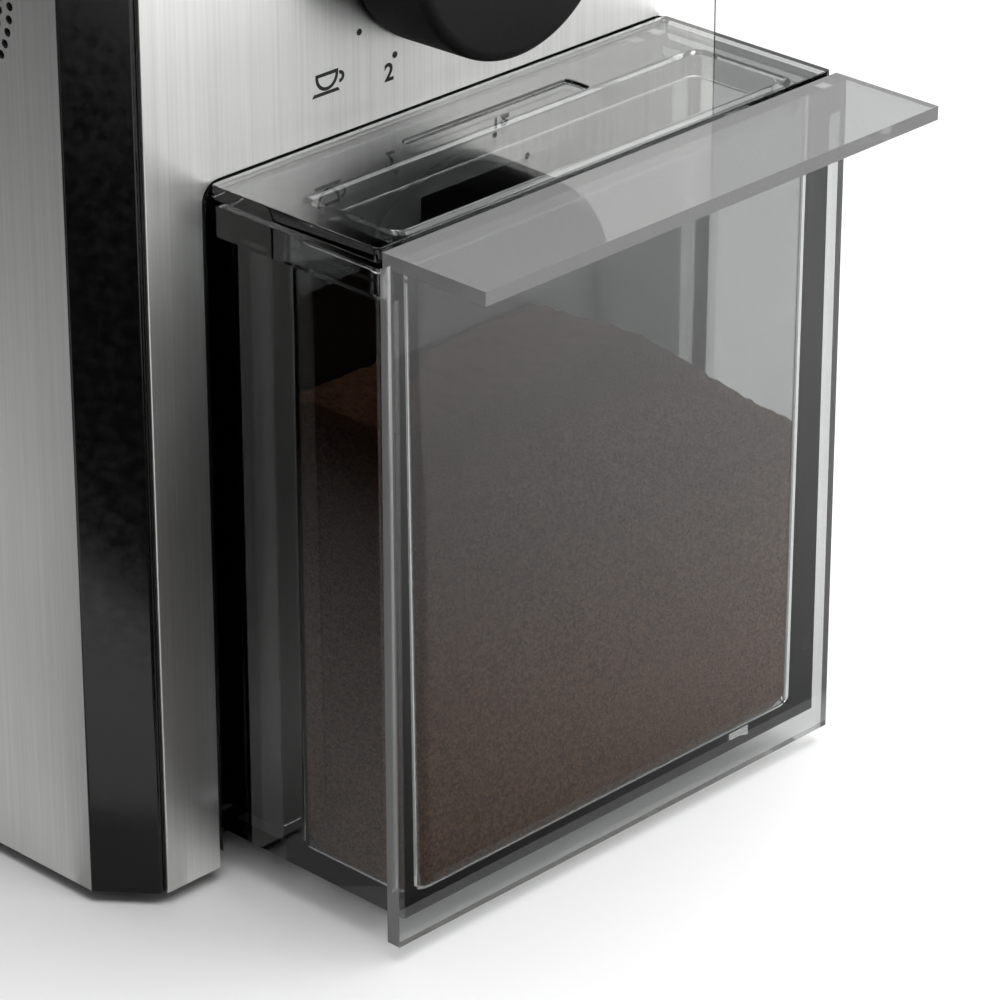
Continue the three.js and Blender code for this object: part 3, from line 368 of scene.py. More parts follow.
put_material(frame["nodes"]["base_plate"], abs_matte)
for name in ("foot_front_left", "foot_front_right", "foot_rear_left", "foot_rear_right"):
    low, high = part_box(name)
    centre = ((low.x + high.x) / 2, (low.y + high.y) / 2, low.z)
    radius = (high.y - low.y) / 2
    pad = 2.6 * MM
    soft = 0.9 * MM
    profile = [(0, 0), (radius - 3 * MM, 0), (radius - 2.4 * MM, 0.4 * MM), (radius - 1.8 * MM, 0)]
    profile += fillet(radius - soft, soft, soft, -90)
    profile += [(radius, pad), (radius / 2, pad), (radius / 2, high.z - low.z), (0, high.z - low.z)]
    foot = turned(name + "_rubber", profile, centre)
    put_material(foot, rubber)
    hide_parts(name)
    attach(foot, "housing")

# ---------------------------------------------------------------------------
# Side panels. Stainless sheet 1 mm thick, brushed from top to bottom, with a round field of punched air
# holes in front of the motor's intake.


def multiply_colours(tree, share, first, second):
    """A colour output darkened by another, by a fixed share."""
    settings = {"data_type": "RGBA", "blend_type": "MULTIPLY", "Factor": share}
    return add_node(tree, "ShaderNodeMix", settings, {6: first, 7: second}).outputs[2]


def brushed_stainless(name, dark, light, roughness):
    """Belt-brushed stainless: long fine upright scratches that spread highlights sideways."""
    made, tree, shader = new_material(name, {"Metallic": 1.0, "Anisotropic": 0.65})
    # Scratches are about 0.12 mm apart and 30 mm long; broader streaks are 0.7 mm apart.
    scratches = object_noise(tree, 1.0, stretch=(7800, 7800, 34))
    streaks = object_noise(tree, 1.0, stretch=(1500, 1500, 7))
    fine = blend_colours(tree, remap(tree, scratches, 0, 1), dark, light)
    broad = blend_colours(tree, remap(tree, streaks, 0, 1), "#cfcfcf", "#ffffff")
    tree.links.new(multiply_colours(tree, 0.22, fine, broad), shader.inputs["Base Color"])
    vary_gloss(tree, shader, object_noise(tree, 22.0, 2.0), roughness - 0.03, roughness + 0.04)
    tangent = add_node(tree, "ShaderNodeTangent", {"direction_type": "UV_MAP", "uv_map": "grain"})
    tree.links.new(tangent.outputs["Tangent"], shader.inputs["Tangent"])
    bump(tree, shader, scratches, 0.004 * MM, 0.5)
    return made


# Painted light and shade: the same brushed steel in two copies, the side copy painted darker than the front
# copy for the light on each face.
shaded_side_stainless = brushed_stainless("stainless_brushed_side_shaded", "#cececd", "#dadad9", 0.34)
lit_front_stainless = brushed_stainless("stainless_brushed_front_lit", "#ebebe9", "#f5f5f3", 0.36)


def grain_map(piece):
    """A UV map whose first direction runs up the sheet, along the brushing."""
    layer = piece.data.uv_layers.new(name="grain")
    for loop in piece.data.loops:
        place = piece.data.vertices[loop.vertex_index].co
        layer.data[loop.index].uv = (place.z * 10, (place.x + place.y) * 10)


def socket_id(tree, name):
    """The identifier of a tree's input."""
    sockets = (item for item in tree.interface.items_tree if item.item_type == "SOCKET")
    return next(item.identifier for item in sockets if item.name == name)


def perforated_sheet_tree():
    """Rectangle with rings of round holes, filled and thickened; the sheet lies in X and Y."""
    tree = bpy.data.node_groups.new("perforated_sheet", "GeometryNodeTree")
    face = tree.interface
    face.new_socket("Geometry", in_out="INPUT", socket_type="NodeSocketGeometry")
    for label in ("Width", "Height", "Thickness", "Hole radius", "Ring pitch"):
        face.new_socket(label, in_out="INPUT", socket_type="NodeSocketFloat")
    face.new_socket("Field centre", in_out="INPUT", socket_type="NodeSocketVector")
    face.new_socket("Material", in_out="INPUT", socket_type="NodeSocketMaterial")
    face.new_socket("Geometry", in_out="OUTPUT", socket_type="NodeSocketGeometry")
    given = add_node(tree, "NodeGroupInput").outputs
    border = add_node(tree, "GeometryNodeCurvePrimitiveQuadrilateral", None, {
        "Width": given["Width"], "Height": given["Height"],
    })
    hole = add_node(tree, "GeometryNodeCurvePrimitiveCircle", {"Resolution": 12}, {
        "Radius": given["Hole radius"],
    })
    joined = add_node(tree, "GeometryNodeJoinGeometry")
    tree.links.new(border.outputs["Curve"], joined.inputs[0])
    for ring, count in enumerate((1, 7, 14, 21, 27, 34, 41, 48, 55)):
        if ring == 0:
            source = add_node(tree, "GeometryNodePoints", {"Count": 1}).outputs["Points"]
        else:
            size = add_node(tree, "ShaderNodeMath", {"operation": "MULTIPLY", 1: ring}, {
                0: given["Ring pitch"],
            })
            source = add_node(tree, "GeometryNodeCurvePrimitiveCircle", {"Resolution": count}, {
                "Radius": size.outputs[0],
            }).outputs["Curve"]
        placed = add_node(tree, "GeometryNodeInstanceOnPoints", None, {
            "Points": source, "Instance": hole.outputs["Curve"],
        })
        moved = add_node(tree, "GeometryNodeTransform", None, {
            "Geometry": placed.outputs["Instances"], "Translation": given["Field centre"],
        })
        tree.links.new(moved.outputs["Geometry"], joined.inputs[0])
    curves = add_node(tree, "GeometryNodeRealizeInstances", None, {"Geometry": joined.outputs[0]})
    triangles = add_node(tree, "GeometryNodeFillCurve", {"mode": "TRIANGLES"}, {"Curve": curves.outputs[0]})
    flipped = add_node(tree, "GeometryNodeFlipFaces", None, {"Mesh": triangles.outputs["Mesh"]})
    raised = add_node(tree, "GeometryNodeExtrudeMesh", {"Individual": False}, {
        "Mesh": triangles.outputs["Mesh"], "Offset Scale": given["Thickness"],
    })
    both = add_node(tree, "GeometryNodeJoinGeometry")
    tree.links.new(raised.outputs["Mesh"], both.inputs[0])
    tree.links.new(flipped.outputs["Mesh"], both.inputs[0])
    welded = add_node(tree, "GeometryNodeMergeByDistance", {"Distance": 1e-6}, {"Geometry": both.outputs[0]})
    real = add_node(tree, "GeometryNodeRealizeInstances", None, {"Geometry": welded.outputs[0]})
    dressed = add_node(tree, "GeometryNodeSetMaterial", None, {
        "Geometry": real.outputs[0], "Material": given["Material"],
    })
    result = add_node(tree, "NodeGroupOutput")
    tree.links.new(dressed.outputs[0], result.inputs[0])
    return tree


sheet_tree = perforated_sheet_tree()
vent_centre_y = panel_y + 35.0 * MM
vent_centre_z = panel_low.z + 134.5 * MM
vent_radius = 17.0 * MM
vent_rings = 8
for hand in ("left", "right"):
    node = "side_panel_" + hand
    low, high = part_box(node)
    middle = (low + high) / 2
    side_panel = new_piece("brushed_side_" + hand, bmesh.new())
    growth = side_panel.modifiers.new("sheet", "NODES")
    growth.node_group = sheet_tree
    values = {
        "Width": high.y - low.y, "Height": high.z - low.z, "Thickness": high.x - low.x,
        "Hole radius": 0.65 * MM, "Ring pitch": vent_radius / vent_rings, "Material": shaded_side_stainless,
        "Field centre": (vent_centre_y - middle.y, vent_centre_z - middle.z, 0.0),
    }
    for label, value in values.items():
        growth[socket_id(sheet_tree, label)] = value
    bake_modifiers(side_panel)
    # The sheet's X becomes Y and its Y becomes Z; its thickness grows along +X from the lower face.
    side_panel.data.transform(Matrix((
        (0, 0, 1, low.x), (1, 0, 0, middle.y), (0, 1, 0, middle.z), (0, 0, 0, 1),
    )))
    grain_map(side_panel)
    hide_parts(node)
    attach(side_panel, "housing")

# ---------------------------------------------------------------------------
# Front panel. One stainless sheet with its lower middle cut out for the container, round holes for the dial
# and the start button, and edges broken by a fine radius.


def bridge(edit, lower, upper):
    """Four-cornered faces between two closed rings of as many points."""
    for i in range(len(lower)):
        j = (i + 1) % len(lower)
        edit.faces.new((lower[i], lower[j], upper[j], upper[i]))


def add_prism(edit, outline, axis, start, end):
    """A closed outline pushed along an axis. Outlines are (x, y), (x, z) or (y, z) points in metres."""
    order = {"Z": lambda a, b, c: (a, b, c), "Y": lambda a, b, c: (a, c, b), "X": lambda a, b, c: (c, a, b)}
    lower = [edit.verts.new(order[axis](a, b, start)) for a, b in outline]
    upper = [edit.verts.new(order[axis](a, b, end)) for a, b in outline]
    edit.faces.new(lower)
    edit.faces.new(upper)
    bridge(edit, lower, upper)


def prism(name, outline, axis, start, end):
    """A piece of one prism."""
    edit = bmesh.new()
    add_prism(edit, outline, axis, start, end)
    return new_piece(name, edit)


def round_edges(piece, width, segments=3, degrees=30.0):
    """A small radius on every edge sharper than an angle."""
    rounding = piece.modifiers.new("round", "BEVEL")
    rounding.width = width
    rounding.segments = segments
    rounding.limit_method = "ANGLE"
    rounding.angle_limit = math.radians(degrees)
    rounding.use_clamp_overlap = True
    return bake_modifiers(piece)


def arc(centre, radius, start_deg, end_deg, steps=8):
    """Points on an arc."""
    points = []
    for i in range(steps + 1):
        a = math.radians(start_deg + (end_deg - start_deg) * i / steps)
        points.append((centre[0] + radius * math.cos(a), centre[1] + radius * math.sin(a)))
    return points


def cut(piece, tools, operation="DIFFERENCE"):
    """Tool pieces cut from a piece, or joined to it, and removed."""
    for tool in tools:
        step = piece.modifiers.new("cut", "BOOLEAN")
        step.operation = operation
        step.solver = "EXACT"
        step.object = tool
        bake_modifiers(piece)
        bpy.data.objects.remove(tool)
    return piece


def cylinder(centre, radius, start, end, axis, segments=48):
    """A plain round tool for cutting holes."""
    place = (centre[0], 0, centre[1]) if axis == "Y" else (centre[0], centre[1], 0)
    return turned("tool", [(0, start), (radius, start), (radius, end), (0, end)], place, axis, segments)


def level(height_mm):
    """A height in millimetres above the casing's lower edge, in the frame."""
    return panel_low.z + height_mm * MM


bay_half = 47.4 * MM
bay_top = level(107.6)
bay_radius = 3.0 * MM
dial_low, dial_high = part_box("quantity_dial")
dial_z = (dial_low.z + dial_high.z) / 2
button_low, button_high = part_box("start_button")
button_z = (button_low.z + button_high.z) / 2
spindle_hole = 4.8 * MM
button_hole = 7.3 * MM
past = 10 * MM  # how far a cutting tool runs out of the piece
outline = [(panel_low.x, panel_low.z), (-bay_half, panel_low.z)]
outline += arc((-bay_half + bay_radius, bay_top - bay_radius), bay_radius, 180, 90)
outline += arc((bay_half - bay_radius, bay_top - bay_radius), bay_radius, 90, 0)
outline += [(bay_half, panel_low.z), (panel_high.x, panel_low.z)]
outline += [(panel_high.x, panel_high.z), (panel_low.x, panel_high.z)]
front_sheet = prism("brushed_front_panel", outline, "Y", panel_low.y, panel_high.y)
cut(front_sheet, [
    cylinder((0, dial_z), spindle_hole, panel_low.y - past, panel_high.y + past, "Y"),
    cylinder((0, button_z), button_hole, panel_low.y - past, panel_high.y + past, "Y"),
])
round_edges(front_sheet, 0.18 * MM, 2)
smooth_by_angle(front_sheet)
grain_map(front_sheet)
put_material(front_sheet, lit_front_stainless)
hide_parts("front_panel")
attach(front_sheet, "housing")

# ---------------------------------------------------------------------------
# Corner posts. Glossy black ABS extrusions that run the full height and carry the front and side sheets;
# a slanted face turns the corner, with a narrow flat land beside the front sheet.
abs_gloss = moulded_abs("abs_gloss_black", "#060607", "#0a0a0b", 0.16, 1.6, 0.004, 0.4)
for hand, sign in (("left", -1), ("right", 1)):
    node = "corner_post_" + hand
    low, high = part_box(node)
    inner = min(abs(low.x), abs(high.x))
    outer = max(abs(low.x), abs(high.x))
    land = 58.8 * MM
    gap = 58.1 * MM
    slope_end = panel_y + 8.3 * MM
    half = [
        (inner, panel_y + 1.0 * MM), (gap, panel_y + 1.0 * MM), (gap, low.y), (land, low.y),
        (outer, slope_end), (outer, slope_end + 0.3 * MM), (outer - 1.0 * MM, slope_end + 0.3 * MM),
        (outer - 1.0 * MM, high.y), (outer - 3.5 * MM, high.y), (outer - 3.5 * MM, slope_end + 1.0 * MM),
        (gap - 1.3 * MM, panel_y + 4.0 * MM), (inner, panel_y + 4.0 * MM),
    ]
    post = prism("corner_trim_" + hand, [(sign * x, y) for x, y in half], "Z", low.z, high.z)
    round_edges(post, 0.35 * MM, 3, 20.0)
    smooth_by_angle(post, 40.0)
    put_material(post, abs_gloss)
    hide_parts(node)
    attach(post, "housing")

# ---------------------------------------------------------------------------
# Bay lining. A glossy black ABS moulding behind the cut-out: a thin lip lines the steel edge, and a hollow
# boss fills the back of the container and carries the spout window.


def rounded_outline(x0, x1, y0, y1, radius, steps=6):
    """Rectangle with round corners."""
    points = arc((x1 - radius, y0 + radius), radius, -90, 0, steps)
    points += arc((x1 - radius, y1 - radius), radius, 0, 90, steps)
    points += arc((x0 + radius, y1 - radius), radius, 90, 180, steps)
    points += arc((x0 + radius, y0 + radius), radius, 180, 270, steps)
    return points


def block(x0, x1, y0, y1, z0, z1, radius=0.0, name="tool"):
    """A box with upright corners rounded."""
    if radius:
        return prism(name, rounded_outline(x0, x1, y0, y1, radius), "Z", z0, z1)
    return prism(name, [(x0, y0), (x1, y0), (x1, y1), (x0, y1)], "Z", z0, z1)


def depth(y_mm):
    """A place in millimetres behind the front panel's face, in the frame."""
    return panel_y + y_mm * MM


lining_fit = 0.3 * MM
lining_wall = 0.6 * MM
bay_bottom = level(1.0)
housing_back = depth(8.5)
boss_half = 40.5 * MM
boss_wall = 2.5 * MM
spout_half = 15.0 * MM
spout_top = level(97.0)
spout_bottom = level(84.0)
lining_top = bay_top - lining_fit
boss_face = depth(-8.5)
lining_half = bay_half - lining_fit
recess_half = lining_half - lining_wall
flange_half = bay_half + 4.5 * MM
boss_hollow = boss_half - boss_wall
bay_lining = prism(
    "bay_lining", rounded_outline(-lining_half, lining_half, bay_bottom, lining_top, bay_radius),
    "Y", depth(0.3), housing_back,
)
flange = prism(
    "tool", rounded_outline(-flange_half, flange_half, level(3.9), level(111.6), 2 * MM),
    "Y", depth(1.0), depth(2.6),
)
cut(bay_lining, [flange], "UNION")
recess = rounded_outline(
    -recess_half, recess_half, bay_bottom - 0.05, lining_top - lining_wall, bay_radius - lining_wall,
)
cut(bay_lining, [prism("tool", recess, "Y", depth(-1.0), depth(6.0))])
boss = block(-boss_half, boss_half, boss_face, housing_back, level(7.0), level(99.5), 4 * MM)
cut(bay_lining, [boss], "UNION")
cut(bay_lining, [
    block(-boss_hollow, boss_hollow, boss_face + boss_wall, depth(20.0), level(9.5), spout_top),
    block(-spout_half, spout_half, depth(-20.0), depth(2.5), spout_bottom, spout_top),
])
round_edges(bay_lining, 0.25 * MM, 2, 40.0)
smooth_by_angle(bay_lining)
put_material(bay_lining, abs_gloss)
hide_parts("bay_housing")
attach(bay_lining, "housing")

# ---------------------------------------------------------------------------
# Rear cover, its screws and the cable gland. The cover is a matte ABS shell with wrapped corners and six
# rows of cooling slots; counterbored pads take the two screws and a rubber gland fills the cable hole.
cover_low, cover_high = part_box("rear_cover")
corner_radius = 8.0 * MM
cover_wall = 2.5 * MM
half_width = cover_high.x
cover_start = depth(150.0)
lap_start = depth(145.0)
lap_half = half_width - 1.3 * MM
lap_inner = lap_half - 2.2 * MM
inner_radius = corner_radius - cover_wall
left_corner = (-half_width + corner_radius, cover_high.y - corner_radius)
right_corner = (half_width - corner_radius, cover_high.y - corner_radius)
outline = [(half_width, cover_start)]
outline += arc(right_corner, corner_radius, 0, 90) + arc(left_corner, corner_radius, 90, 180)
outline += [(-half_width, cover_start), (-lap_half, cover_start)]
outline += [(-lap_half, lap_start), (-lap_inner, lap_start)]
outline += arc(left_corner, inner_radius, 180, 90) + arc(right_corner, inner_radius, 90, 0)
outline += [(lap_inner, lap_start), (lap_half, lap_start), (lap_half, cover_start)]
rear_shell = prism("rear_shell", outline, "Z", cover_low.z, cover_high.z)
screw_x = 45.0 * MM
screw_z = level(193.0)
gland_low, gland_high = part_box("cord_gland")
gland_x = (gland_low.x + gland_high.x) / 2
gland_z = (gland_low.z + gland_high.z) / 2
screw_hole = 1.8 * MM


def screw_tools(radius, start_mm, end_mm):
    """A round tool on each of the two cover screws' axes."""
    return [
        cylinder((sign * screw_x, screw_z), radius, depth(start_mm), depth(end_mm), "Y") for sign in (-1, 1)
    ]


cut(rear_shell, screw_tools(6 * MM, 153.0, 159.0), "UNION")
cut(rear_shell, screw_tools(3.3 * MM, 157.0, 161.0))
cut(rear_shell, screw_tools(screw_hole, 150.0, 161.0))
cut(rear_shell, [cylinder((gland_x, gland_z), 6.3 * MM, depth(150.0), depth(161.0), "Y")])
slot_half = 24 * MM
slot_height = 2.5 * MM
for row in range(6):
    z = level(60.0 + 8.0 * row)
    slot = rounded_outline(-slot_half, slot_half, z, z + slot_height, 1.24 * MM)
    cut(rear_shell, [prism("tool", slot, "Y", depth(156.0), depth(161.0))])
for x in (-30 * MM, 30 * MM):
    cut(rear_shell, [
        cylinder((x, level(z)), 3 * MM, depth(151.6), depth(159.0), "Y", 24) for z in (40.0, 140.0)
    ], "UNION")
round_edges(rear_shell, 0.5 * MM, 2, 45.0)
smooth_by_angle(rear_shell)
put_material(rear_shell, abs_matte)
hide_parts("rear_cover")
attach(rear_shell, "housing")


def zinc_steel(name, dark, light, roughness):
    """Zinc-plated steel: bluish grey, slightly mottled by the bath."""
    made, tree, shader = new_material(name, {"Metallic": 1.0})
    mottle = object_noise(tree, 900.0)
    paint(tree, shader, mottle, dark, light)
    vary_gloss(tree, shader, mottle, roughness - 0.08, roughness + 0.08)
    return made


zinc = zinc_steel("zinc_plated_steel", "#8f9294", "#b4b6b8", 0.34)
for hand, sign in (("left", -1), ("right", 1)):
    node = "cover_screw_" + hand
    low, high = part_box(node)
    head = 3.0 * MM
    top = high.y
    profile = [
        (0, low.y + 0.6 * MM), (0.5 * MM, low.y), (1.5 * MM, low.y + 1.2 * MM), (1.5 * MM, depth(157.0)),
        (head, depth(157.0)), (head, top - 0.5 * MM), (head - 0.5 * MM, top), (0, top),
    ]
    screw = turned(node + "_steel", profile, (sign * screw_x, 0, screw_z), "Y", 40)
    for turn in (0, 90):
        slot = block(-1.7 * MM, 1.7 * MM, top - 1.1 * MM, top + 1 * MM, -0.35 * MM, 0.35 * MM)
        slot.data.transform(Matrix.Rotation(math.radians(turn), 4, "Y"))
        slot.data.transform(Matrix.Translation((sign * screw_x, 0, screw_z)))
        cut(screw, [slot])
    smooth_by_angle(screw)
    put_material(screw, zinc)
    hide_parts(node)
    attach(screw, "housing")

profile = [(r * MM, depth(y)) for r, y in (
    (2.5, 154.5), (8.5, 154.5), (8.5, 157.5), (6.0, 157.5),
    (6.0, 159.6), (5.6, 160.0), (3.1, 160.0), (2.5, 159.4),
)]
gland = turned("cable_gland", profile, (gland_x, 0, gland_z), "Y")
put_material(gland, rubber)
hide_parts("cord_gland")
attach(gland, "housing")

# ---------------------------------------------------------------------------
# Top deck. A matte ABS cap over the casing with chamfered front corners, a round seat for the hopper's
# funnel and a sleeve for the grind knob.
deck_low, deck_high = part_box("top_deck")
deck_bottom = deck_high.z - 3.0 * MM
hopper_low, hopper_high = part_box("hopper")
hopper_y = (hopper_low.y + hopper_high.y) / 2
hopper_half = (hopper_high.x - hopper_low.x) / 2
knob_low, knob_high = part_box("grind_knob")
knob_y = (knob_low.y + knob_high.y) / 2
funnel_seat = 45 * MM
knob_sleeve = 6 * MM
knob_stem = 3.3 * MM
lug_half = 5 * MM
root = deck_bottom + 1 * MM
outline = [(-land, deck_low.y), (land, deck_low.y), (half_width, slope_end)]
outline += arc((half_width - corner_radius, deck_high.y - corner_radius), corner_radius, 0, 90)
outline += arc((-half_width + corner_radius, deck_high.y - corner_radius), corner_radius, 90, 180)
outline += [(-half_width, slope_end)]
deck = prism("top_cap", outline, "Z", deck_bottom, deck_high.z)
cut(deck, [cylinder((0, hopper_y), funnel_seat + 3 * MM, deck_bottom - 5 * MM, root, "Z", 96)], "UNION")
cut(deck, [cylinder((0, hopper_y), funnel_seat, deck_low.z - past, deck_high.z + past, "Z", 96)])
cut(deck, [cylinder((0, knob_y), knob_sleeve, deck_low.z, root, "Z")], "UNION")
cut(deck, [cylinder((0, knob_y), knob_stem, deck_low.z - past, deck_high.z + past, "Z")])
cut(deck, [
    block(x - lug_half, x + lug_half, depth(143.0), depth(153.0), level(188.0), root)
    for x in (-screw_x, screw_x)
], "UNION")
cut(deck, screw_tools(screw_hole, 144.0, 160.0))
round_edges(deck, 0.6 * MM, 3, 40.0)
smooth_by_angle(deck)
put_material(deck, abs_matte)
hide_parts("top_deck")
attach(deck, "housing")

# ---------------------------------------------------------------------------
# Works inside the casing. They keep their machined and moulded shapes; each gets the finish of its material:
# glass-filled nylon, plated steel, hardened burr steel, bronze, white nylon and green circuit board.
glass_nylon = moulded_abs("glass_filled_nylon_grey", "#2c2c2e", "#3a3a3d", 0.58, 0.5, 0.03)
white_nylon = moulded_abs("natural_nylon", "#d8d4c6", "#e6e3d8", 0.5, 0.6, 0.02)
burr_steel = zinc_steel("hardened_burr_steel", "#6f7173", "#a2a4a6", 0.28)
motor_steel = zinc_steel("motor_can_steel", "#77797b", "#98999b", 0.42)
bronze = zinc_steel("sintered_bronze", "#8a6c35", "#b99a58", 0.4)
board = moulded_abs("green_circuit_board", "#163a28", "#24553a", 0.4, 0.8, 0.01)
finishes = {
    "inner_plastic": glass_nylon, "gear_nylon": white_nylon, "burr_steel": burr_steel,
    "motor_steel": motor_steel, "bush_brass": bronze, "board_laminate": board, "screw_steel": zinc,
}
for part in frame["record"]["subparts"]:
    if part["material_slot"] in finishes:
        put_material(frame["nodes"][part["node"]], finishes[part["material_slot"]])

# ---------------------------------------------------------------------------
# Quantity dial. A turned-looking ABS knob with a fine matte texture, a softened front edge and a moulded
# pointer groove filled with white.
dial_radius = (dial_high.z - dial_low.z) / 2
dial_front = dial_low.y
soft = 1.7 * MM
profile = [(0, dial_front)]
profile += fillet(dial_radius - 0.25 * MM - soft, dial_front + soft, soft, -90, 8)
skirt_inner = dial_radius - 2 * MM
hub = 7 * MM
spindle = 3.3 * MM
hub_foot = dial_high.y - 1.2 * MM
profile += [
    (dial_radius, dial_high.y - 0.4 * MM), (dial_radius - 0.4 * MM, dial_high.y), (skirt_inner, dial_high.y),
    (skirt_inner, dial_front + 3 * MM), (hub, dial_front + 3 * MM), (hub, hub_foot),
    (spindle, hub_foot), (spindle, dial_front + 3.7 * MM), (0, dial_front + 3.7 * MM),
]
dial = turned("dial_knob", profile, (0, 0, dial_z), "Y", 128)
cut(dial, [block(
    -0.7 * MM, 0.7 * MM, dial_front - 1 * MM, dial_front + 0.35 * MM, dial_z + 8 * MM, dial_z + 17 * MM,
)])
smooth_by_angle(dial)
put_material(dial, abs_matte)
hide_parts("quantity_dial")
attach(dial, "dial")


def screen_ink(name, dark, light):
    """Screen-printing ink: flat, with a little thickness variation."""
    made, tree, shader = new_material(name, {"Roughness": 0.45})
    film = object_noise(tree, 2500.0, 2.0)
    paint(tree, shader, film, dark, light)
    bump(tree, shader, film, 0.01 * MM)
    return made


white_ink = screen_ink("white_fill_ink", "#d9d9d6", "#efefec")
pointer = block(
    -0.62 * MM, 0.62 * MM, dial_front + 0.1 * MM, dial_front + 0.33 * MM,
    dial_z + 8.1 * MM, dial_z + 16.9 * MM, name="dial_pointer",
)
put_material(pointer, white_ink)
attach(pointer, "dial")

# ---------------------------------------------------------------------------
# Printed marks on the steel: a ring of setting dots, numbers from 2 to 12 and a coffee cup sign. They are
# screen printed, so each is a flat film a few hundredths of a millimetre thick.
black_ink = screen_ink("black_print_ink", "#070708", "#0d0d0e")
ink_thickness = 0.03 * MM
ring_radius = 22.8 * MM
dot_count = 15
first_angle = 243.8
last_angle = -63.8


def flat_film(name, outlines):
    """Closed (x, z) outlines as one thin film in front of the panel, each with its own rim."""
    edit = bmesh.new()
    for outline in outlines:
        add_prism(edit, outline, "Y", panel_y - ink_thickness, panel_y - ink_thickness / 6)
    film = new_piece(name, edit)
    put_material(film, black_ink)
    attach(film, "housing")


dots = []
for i in range(dot_count):
    a = math.radians(first_angle + (last_angle - first_angle) * i / (dot_count - 1))
    place = (ring_radius * math.cos(a), dial_z + ring_radius * math.sin(a))
    dots.append(arc(place, 0.5 * MM, 0, 345, 23))
flat_film("setting_dots", dots)


def printed_number(text, angle_deg):
    """A number standing outside the dot ring, turned to a mesh and pressed onto the panel."""
    letters = bpy.data.curves.new("number", "FONT")
    letters.body = text
    letters.size = 3.7 * MM
    letters.offset = 0.09 * MM
    letters.align_x = "CENTER"
    letters.align_y = "CENTER"
    letters.extrude = ink_thickness / 2
    sign = new_object("number", letters)
    bpy.context.view_layer.update()
    mesh = bpy.data.meshes.new_from_object(sign.evaluated_get(bpy.context.evaluated_depsgraph_get()))
    bpy.data.objects.remove(sign)
    a = math.radians(angle_deg)
    reach = ring_radius + 2.7 * MM
    place = (reach * math.cos(a), panel_y - ink_thickness * 0.7, dial_z + reach * math.sin(a))
    mesh.transform(Matrix.Rotation(math.radians(90), 4, "X"))
    mesh.transform(Matrix.Translation(place))
    edit = bmesh.new()
    edit.from_mesh(mesh)
    number = new_piece("number_" + text, edit)
    put_material(number, black_ink)
    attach(number, "housing")


for text, dot in (("2", 0), ("4", 3), ("6", 6), ("8", 8), ("10", 11), ("12", 14)):
    printed_number(text, first_angle + (last_angle - first_angle) * dot / (dot_count - 1))

cup_x = -23.4 * MM
cup_z = dial_z - 21.2 * MM
line = 2 * 0.26 * MM
cup_radius = 2.2 * MM
handle_radius = 0.9 * MM
brim = cup_z + 1.3 * MM
saucer = cup_z - 1.5 * MM
handle = (cup_x + 2.5 * MM, cup_z + 0.5 * MM)
flat_film("cup_sign", [
    arc((cup_x, brim), cup_radius, 180, 360, 20) + arc((cup_x, brim), cup_radius - line, 360, 180, 20),
    [(cup_x - cup_radius, brim), (cup_x + cup_radius, brim),
     (cup_x + cup_radius, brim + line), (cup_x - cup_radius, brim + line)],
    arc(handle, handle_radius, -100, 100, 12) + arc(handle, handle_radius - line, 100, -100, 12),
    [(cup_x - 2.9 * MM, saucer), (cup_x + 2.5 * MM, saucer),
     (cup_x + 2.1 * MM, saucer + line), (cup_x - 2.5 * MM, saucer + line)],
])

# ---------------------------------------------------------------------------
# Start button. A satin black push button in a steel-edged hole, with a dished face.
abs_satin = moulded_abs("abs_satin_black", "#0d0d0e", "#131313", 0.38, 0.5, 0.012, 0.3)
button_radius = 7.0 * MM
button_front = button_low.y
profile = [(r * MM, button_front + dish * MM) for r, dish in ((0, 0.5), (3.0, 0.35), (5.2, 0.05))]
profile += fillet(button_radius - 0.8 * MM, button_front + 0.8 * MM, 0.8 * MM, -90, 4)
profile += [
    (button_radius, depth(1.3)), (8.5 * MM, depth(1.3)), (8.5 * MM, depth(3.0)), (2.0 * MM, depth(3.0)),
    (2.0 * MM, button_high.y), (0, button_high.y),
]
start_button = turned("push_button", profile, (0, 0, button_z), "Y", 64)
put_material(start_button, abs_satin)
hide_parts("start_button")
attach(start_button, "button")

# ---------------------------------------------------------------------------
# Grind knob on the deck, with fluted sides for grip and a moulded white index line.
knob_radius = (knob_high.y - knob_low.y) / 2
knob_top = knob_high.z
flutes = 24
flute_depth = 0.55 * MM
edit = bmesh.new()
rings = []
levels = [
    (knob_low.z, 1.0, 0.0), (knob_low.z + 0.8 * MM, 1.0, 1.0), (knob_top - 2.6 * MM, 0.97, 1.0),
    (knob_top - 1.2 * MM, 0.95, 0.4), (knob_top - 0.3 * MM, 0.9, 0.0), (knob_top, 0.84, 0.0),
]
steps = flutes * 8
for z, scale, ripple in levels:
    ring = []
    for i in range(steps):
        a = 2 * math.pi * i / steps
        wave = flute_depth * ripple * (0.5 - 0.5 * math.cos(flutes * a)) ** 2
        r = knob_radius * scale - wave
        ring.append(edit.verts.new((r * math.cos(a), knob_y + r * math.sin(a), z)))
    rings.append(ring)
for lower, upper in zip(rings, rings[1:]):
    bridge(edit, lower, upper)
edit.faces.new(rings[-1])
edit.faces.new(rings[0])
grind_knob = new_piece("fluted_knob", edit)
cut(grind_knob, [
    cylinder((0, knob_y), knob_stem, knob_low.z - past, knob_top - 3.7 * MM, "Z"),
    block(-0.6 * MM, 0.6 * MM, knob_y - 13 * MM, knob_y - 5 * MM, knob_top - 0.4 * MM, knob_top + 1 * MM),
])
smooth_by_angle(grind_knob, 50.0)
put_material(grind_knob, abs_satin)
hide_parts("grind_knob")
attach(grind_knob, "grind_selector")
index = block(
    -0.5 * MM, 0.5 * MM, knob_y - 12.9 * MM, knob_y - 5.1 * MM, knob_top - 0.38 * MM, knob_top - 0.12 * MM,
    name="grind_index",
)
put_material(index, white_ink)
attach(index, "grind_selector")

